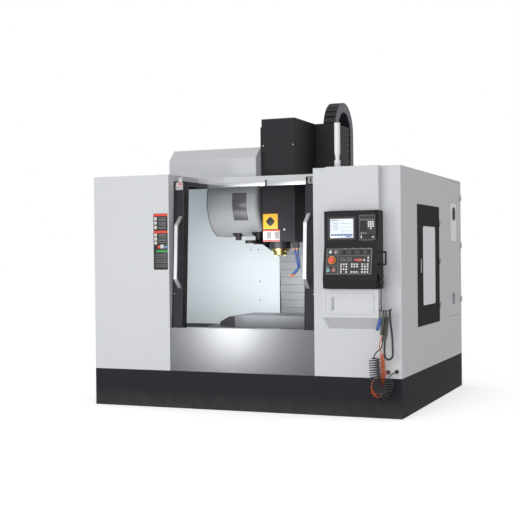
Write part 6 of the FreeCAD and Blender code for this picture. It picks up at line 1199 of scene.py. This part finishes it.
@dataclass
class HangingLines:
    """The station's cord, the loop of hose and the two curled hoses under the tool rack.

    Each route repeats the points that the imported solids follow.
    """

    cord_route: tuple[Triple, ...] = ((1317, -1320, 1081), (1317, -1320, 1046), (1316, -1325, 1006),
                                      (1318, -1334, 968), (1322, -1336, 936), (1322, -1336, 905))
    hose_route: tuple[Triple, ...] = (
        (1386, -1316, 900), (1386, -1316, 862), (1391, -1312, 800), (1398, -1307, 732), (1403, -1302, 665),
        (1403, -1300, 605), (1405, -1299, 560), (1402, -1298, 518), (1369, -1298, 497), (1336, -1298, 514),
        (1334, -1298, 552), (1333, -1298, 590), (1336, -1298, 622), (1336, -1298, 652))
    black_route: tuple[Triple, ...] = (
        (1318, -1298, 652), (1318, -1298, 622), (1302, -1299, 586), (1268, -1300, 562), (1246, -1300, 530),
        (1246, -1300, 505), (1250, -1300, 400), (1264, -1300, 290), (1292, -1300, 215), (1326, -1300, 205),
        (1356, -1300, 260), (1364, -1300, 316), (1366, -1298, 344), (1380, -1284, 374), (1404, -1266, 388),
        (1412, -1244, 392), (1412, -1217, 392))
    orange_route: tuple[Triple, ...] = (
        (1319, -1332, 704), (1319, -1332, 676), (1304, -1318, 646), (1288, -1286, 622), (1278, -1252, 596),
        (1286, -1234, 556), (1295, -1231, 500), (1298, -1231, 420), (1299, -1231, 320), (1291, -1231, 225),
        (1251, -1231, 180), (1211, -1231, 225), (1198, -1231, 258), (1210, -1236, 306), (1256, -1240, 346),
        (1308, -1242, 374), (1338, -1242, 386), (1338, -1217, 386))

    def plain(self, name: str, route: Sequence[Triple], thick: float) -> None:
        """Args:
            name: object name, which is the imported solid's with a last word more.
            route: its route.
            thick: its diameter, in mm.
        """
        made = nurbs(name, route, thick)
        made.data.materials.append(RUBBER.material())
        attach(made, "machine_frame")
        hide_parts(name.replace("_line", ""))
        LOG.info("%s: %.3f m", name, length_of(line_of(route)))

    def curled(self, name: str, node: str, route: Sequence[Triple], stretch: Pair, outer: float, thick: float,
               turns: int, finish: Finish, slot: str) -> None:
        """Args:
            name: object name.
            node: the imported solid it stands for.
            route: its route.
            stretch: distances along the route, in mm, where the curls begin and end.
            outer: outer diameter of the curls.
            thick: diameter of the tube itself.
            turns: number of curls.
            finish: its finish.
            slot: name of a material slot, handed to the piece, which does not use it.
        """
        path = helix(line_of(route), stretch[0] * MM, stretch[1] * MM, (outer - thick) / 2 * MM, turns)
        piece = Piece(name, finish, slot)
        piece.shell(tube(path, thick / 2 * MM, 8))
        made = piece.finish_up(180)
        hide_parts(node)
        LOG.info("%s: route %.3f m, tube %.3f m", name, length_of(line_of(route)), length_of(path))

    def build(self) -> None:
        """Builds the four lines."""
        self.plain("pendant_cord_line", self.cord_route, 9)
        self.plain("hanging_hose_line", self.hose_route, 18)
        self.curled("black_coil_hose_curls", "black_coil_hose", self.black_route, (160, 640), 92, 10, 25, RUBBER,
                    "rubber")
        self.curled("orange_coil_hose_curls", "orange_coil_hose", self.orange_route, (205, 645), 42, 8, 24,
                    ORANGE_TUBE, "orange_hose")


# ---- studio ---------------------------------------------------------------------------------------------
@dataclass
class Studio:
    """Plain white floor, soft lamps and the camera at the picture's angle."""

    sensor: float = 36.0        # width of the film, in mm
    focal_px: float = 1065.49   # focal length in pixels of the picture, which is picture_px wide
    picture_px: float = 520.0
    yaw: float = 22.2826
    pitch: float = -0.3728
    roll: float = -0.5616
    place: Triple = (3707.6, -9763.7, 1383.9)
    reach: float = 60.0         # half the floor's side, in metres
    lift: float = 0.5           # glow that turns the floor into white paper for the camera
    surround: float = 0.56      # strength of the surround as the object sees it

    def camera(self) -> None:
        """Sets the camera: looks along (-sin yaw cos pitch, cos yaw cos pitch, sin pitch), rolled about that."""
        data = bpy.data.cameras.new("picture_camera")
        data.lens = self.sensor * self.focal_px / self.picture_px
        data.sensor_width = self.sensor
        data.sensor_fit = "HORIZONTAL"
        data.clip_end = 200.0
        made = linked("picture_camera", data)
        yaw, pitch, roll = (math.radians(v) for v in (self.yaw, self.pitch, self.roll))
        ahead = Vector((-math.sin(yaw) * math.cos(pitch), math.cos(yaw) * math.cos(pitch), math.sin(pitch)))
        level = Vector((math.cos(yaw), math.sin(yaw), 0.0))
        square = level.cross(ahead)
        right = level * math.cos(roll) + square * math.sin(roll)
        up = -level * math.sin(roll) + square * math.cos(roll)
        turn = Matrix((right, up, -ahead)).transposed().to_4x4()
        made.matrix_world = Matrix.Translation(Vector(at(*self.place))) @ turn
        bpy.context.scene.camera = made

    def floor(self) -> None:
        """Wide plain floor; to the camera it reads as white paper, and it keeps the machine's shadow."""
        mesh = bpy.data.meshes.new("studio_floor")
        mesh.from_pydata([(x * self.reach, y * self.reach, 0) for x, y in ((-1, -1), (1, -1), (1, 1), (-1, 1))], [],
                         [(0, 1, 2, 3)])
        made = linked("studio_floor", mesh)
        paper = bpy.data.materials.new("studio_paper")
        paper.use_nodes = True
        tree = paper.node_tree
        tree.nodes.clear()
        ray = add(tree, "ShaderNodeLightPath").outputs["Is Camera Ray"]
        lift = add(tree, "ShaderNodeMath", {0: ray, 1: self.lift}, operation="MULTIPLY").outputs[0]
        matt = add(tree, "ShaderNodeBsdfDiffuse", {"Color": linear("#f4f4f4")})
        glow = add(tree, "ShaderNodeEmission", {"Color": linear("#ffffff"), "Strength": lift})
        both = add(tree, "ShaderNodeAddShader", {0: matt.outputs[0], 1: glow.outputs[0]})
        add(tree, "ShaderNodeOutputMaterial", {"Surface": both.outputs[0]})
        mesh.materials.append(paper)

    def sky(self) -> None:
        """White surround for what the camera and glass see; a softer grey one lights the object."""
        world = bpy.data.worlds.new("studio_surround")
        world.use_nodes = True
        tree = world.node_tree
        tree.nodes.clear()
        rays = add(tree, "ShaderNodeLightPath").outputs
        seen = add(tree, "ShaderNodeMath", {0: rays["Is Camera Ray"], 1: rays["Is Transmission Ray"]},
                   operation="MAXIMUM").outputs[0]
        back = add(tree, "ShaderNodeBackground", {"Color": linear("#ffffff"),
                                                  "Strength": mixed(tree, seen, self.surround, 1.0)})
        add(tree, "ShaderNodeOutputWorld", {"Surface": back.outputs[0]})
        bpy.context.scene.world = world

    @staticmethod
    def lamp(name: str, place: Triple, aim: Triple, size: Pair, power: float, fan: float = 180.0) -> None:
        """Adds one soft box that faces `aim`.

        Args:
            name: the lamp's name.
            place: its middle, in metres.
            aim: the point that it faces.
            size: its width and height.
            power: watts.
            fan: the angle that its grid lets the light out in, in degrees.
        """
        data = bpy.data.lights.new(name, "AREA")
        data.shape = "RECTANGLE"
        data.size, data.size_y = size
        data.energy = power
        data.spread = math.radians(fan)
        there = Vector(place)
        turn = (Vector(aim) - there).to_track_quat("-Z", "Y").to_matrix().to_4x4()
        linked(name, data).matrix_world = Matrix.Translation(there) @ turn

    def build(self) -> None:
        """Sets up floor, surround, lamps, camera and colour."""
        self.floor()
        self.sky()
        self.lamp("key_softbox", (0.6, -9.5, 3.6), (0, -0.2, 1.2), (6.0, 4.5), 215)
        self.lamp("strip_softbox", (-2.44, -6.5, 0.7), (-0.1, -1.0, 0.6), (0.36, 1.35), 46)
        self.lamp("work_zone_light", (-0.34, -0.86, 1.15), (-0.6, 0.4, 1.25), (0.9, 0.6), 8.0, 130.0)
        self.camera()
        bpy.context.scene.view_settings.view_transform = "Standard"


def main() -> None:
    """Loads the frame, builds and dresses everything."""
    logging.basicConfig(level=logging.INFO, format="%(message)s")
    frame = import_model()
    Frame().dress(frame["nodes"])
    for part in (EnclosureTrim(), GuardHeader(), PanelScrews(), DoorTrim(-1, -578.0), DoorTrim(1, 587.0), HeadPlates(),
                 CoverFolds(), OperatorStation(), CoolantHoses(), ToolBoxTrim(), LeverGrip(), PanelSeams(),
                 ServiceSide(), HangingLines(), Studio()):
        part.build()


if __name__ == "__main__":
    main()
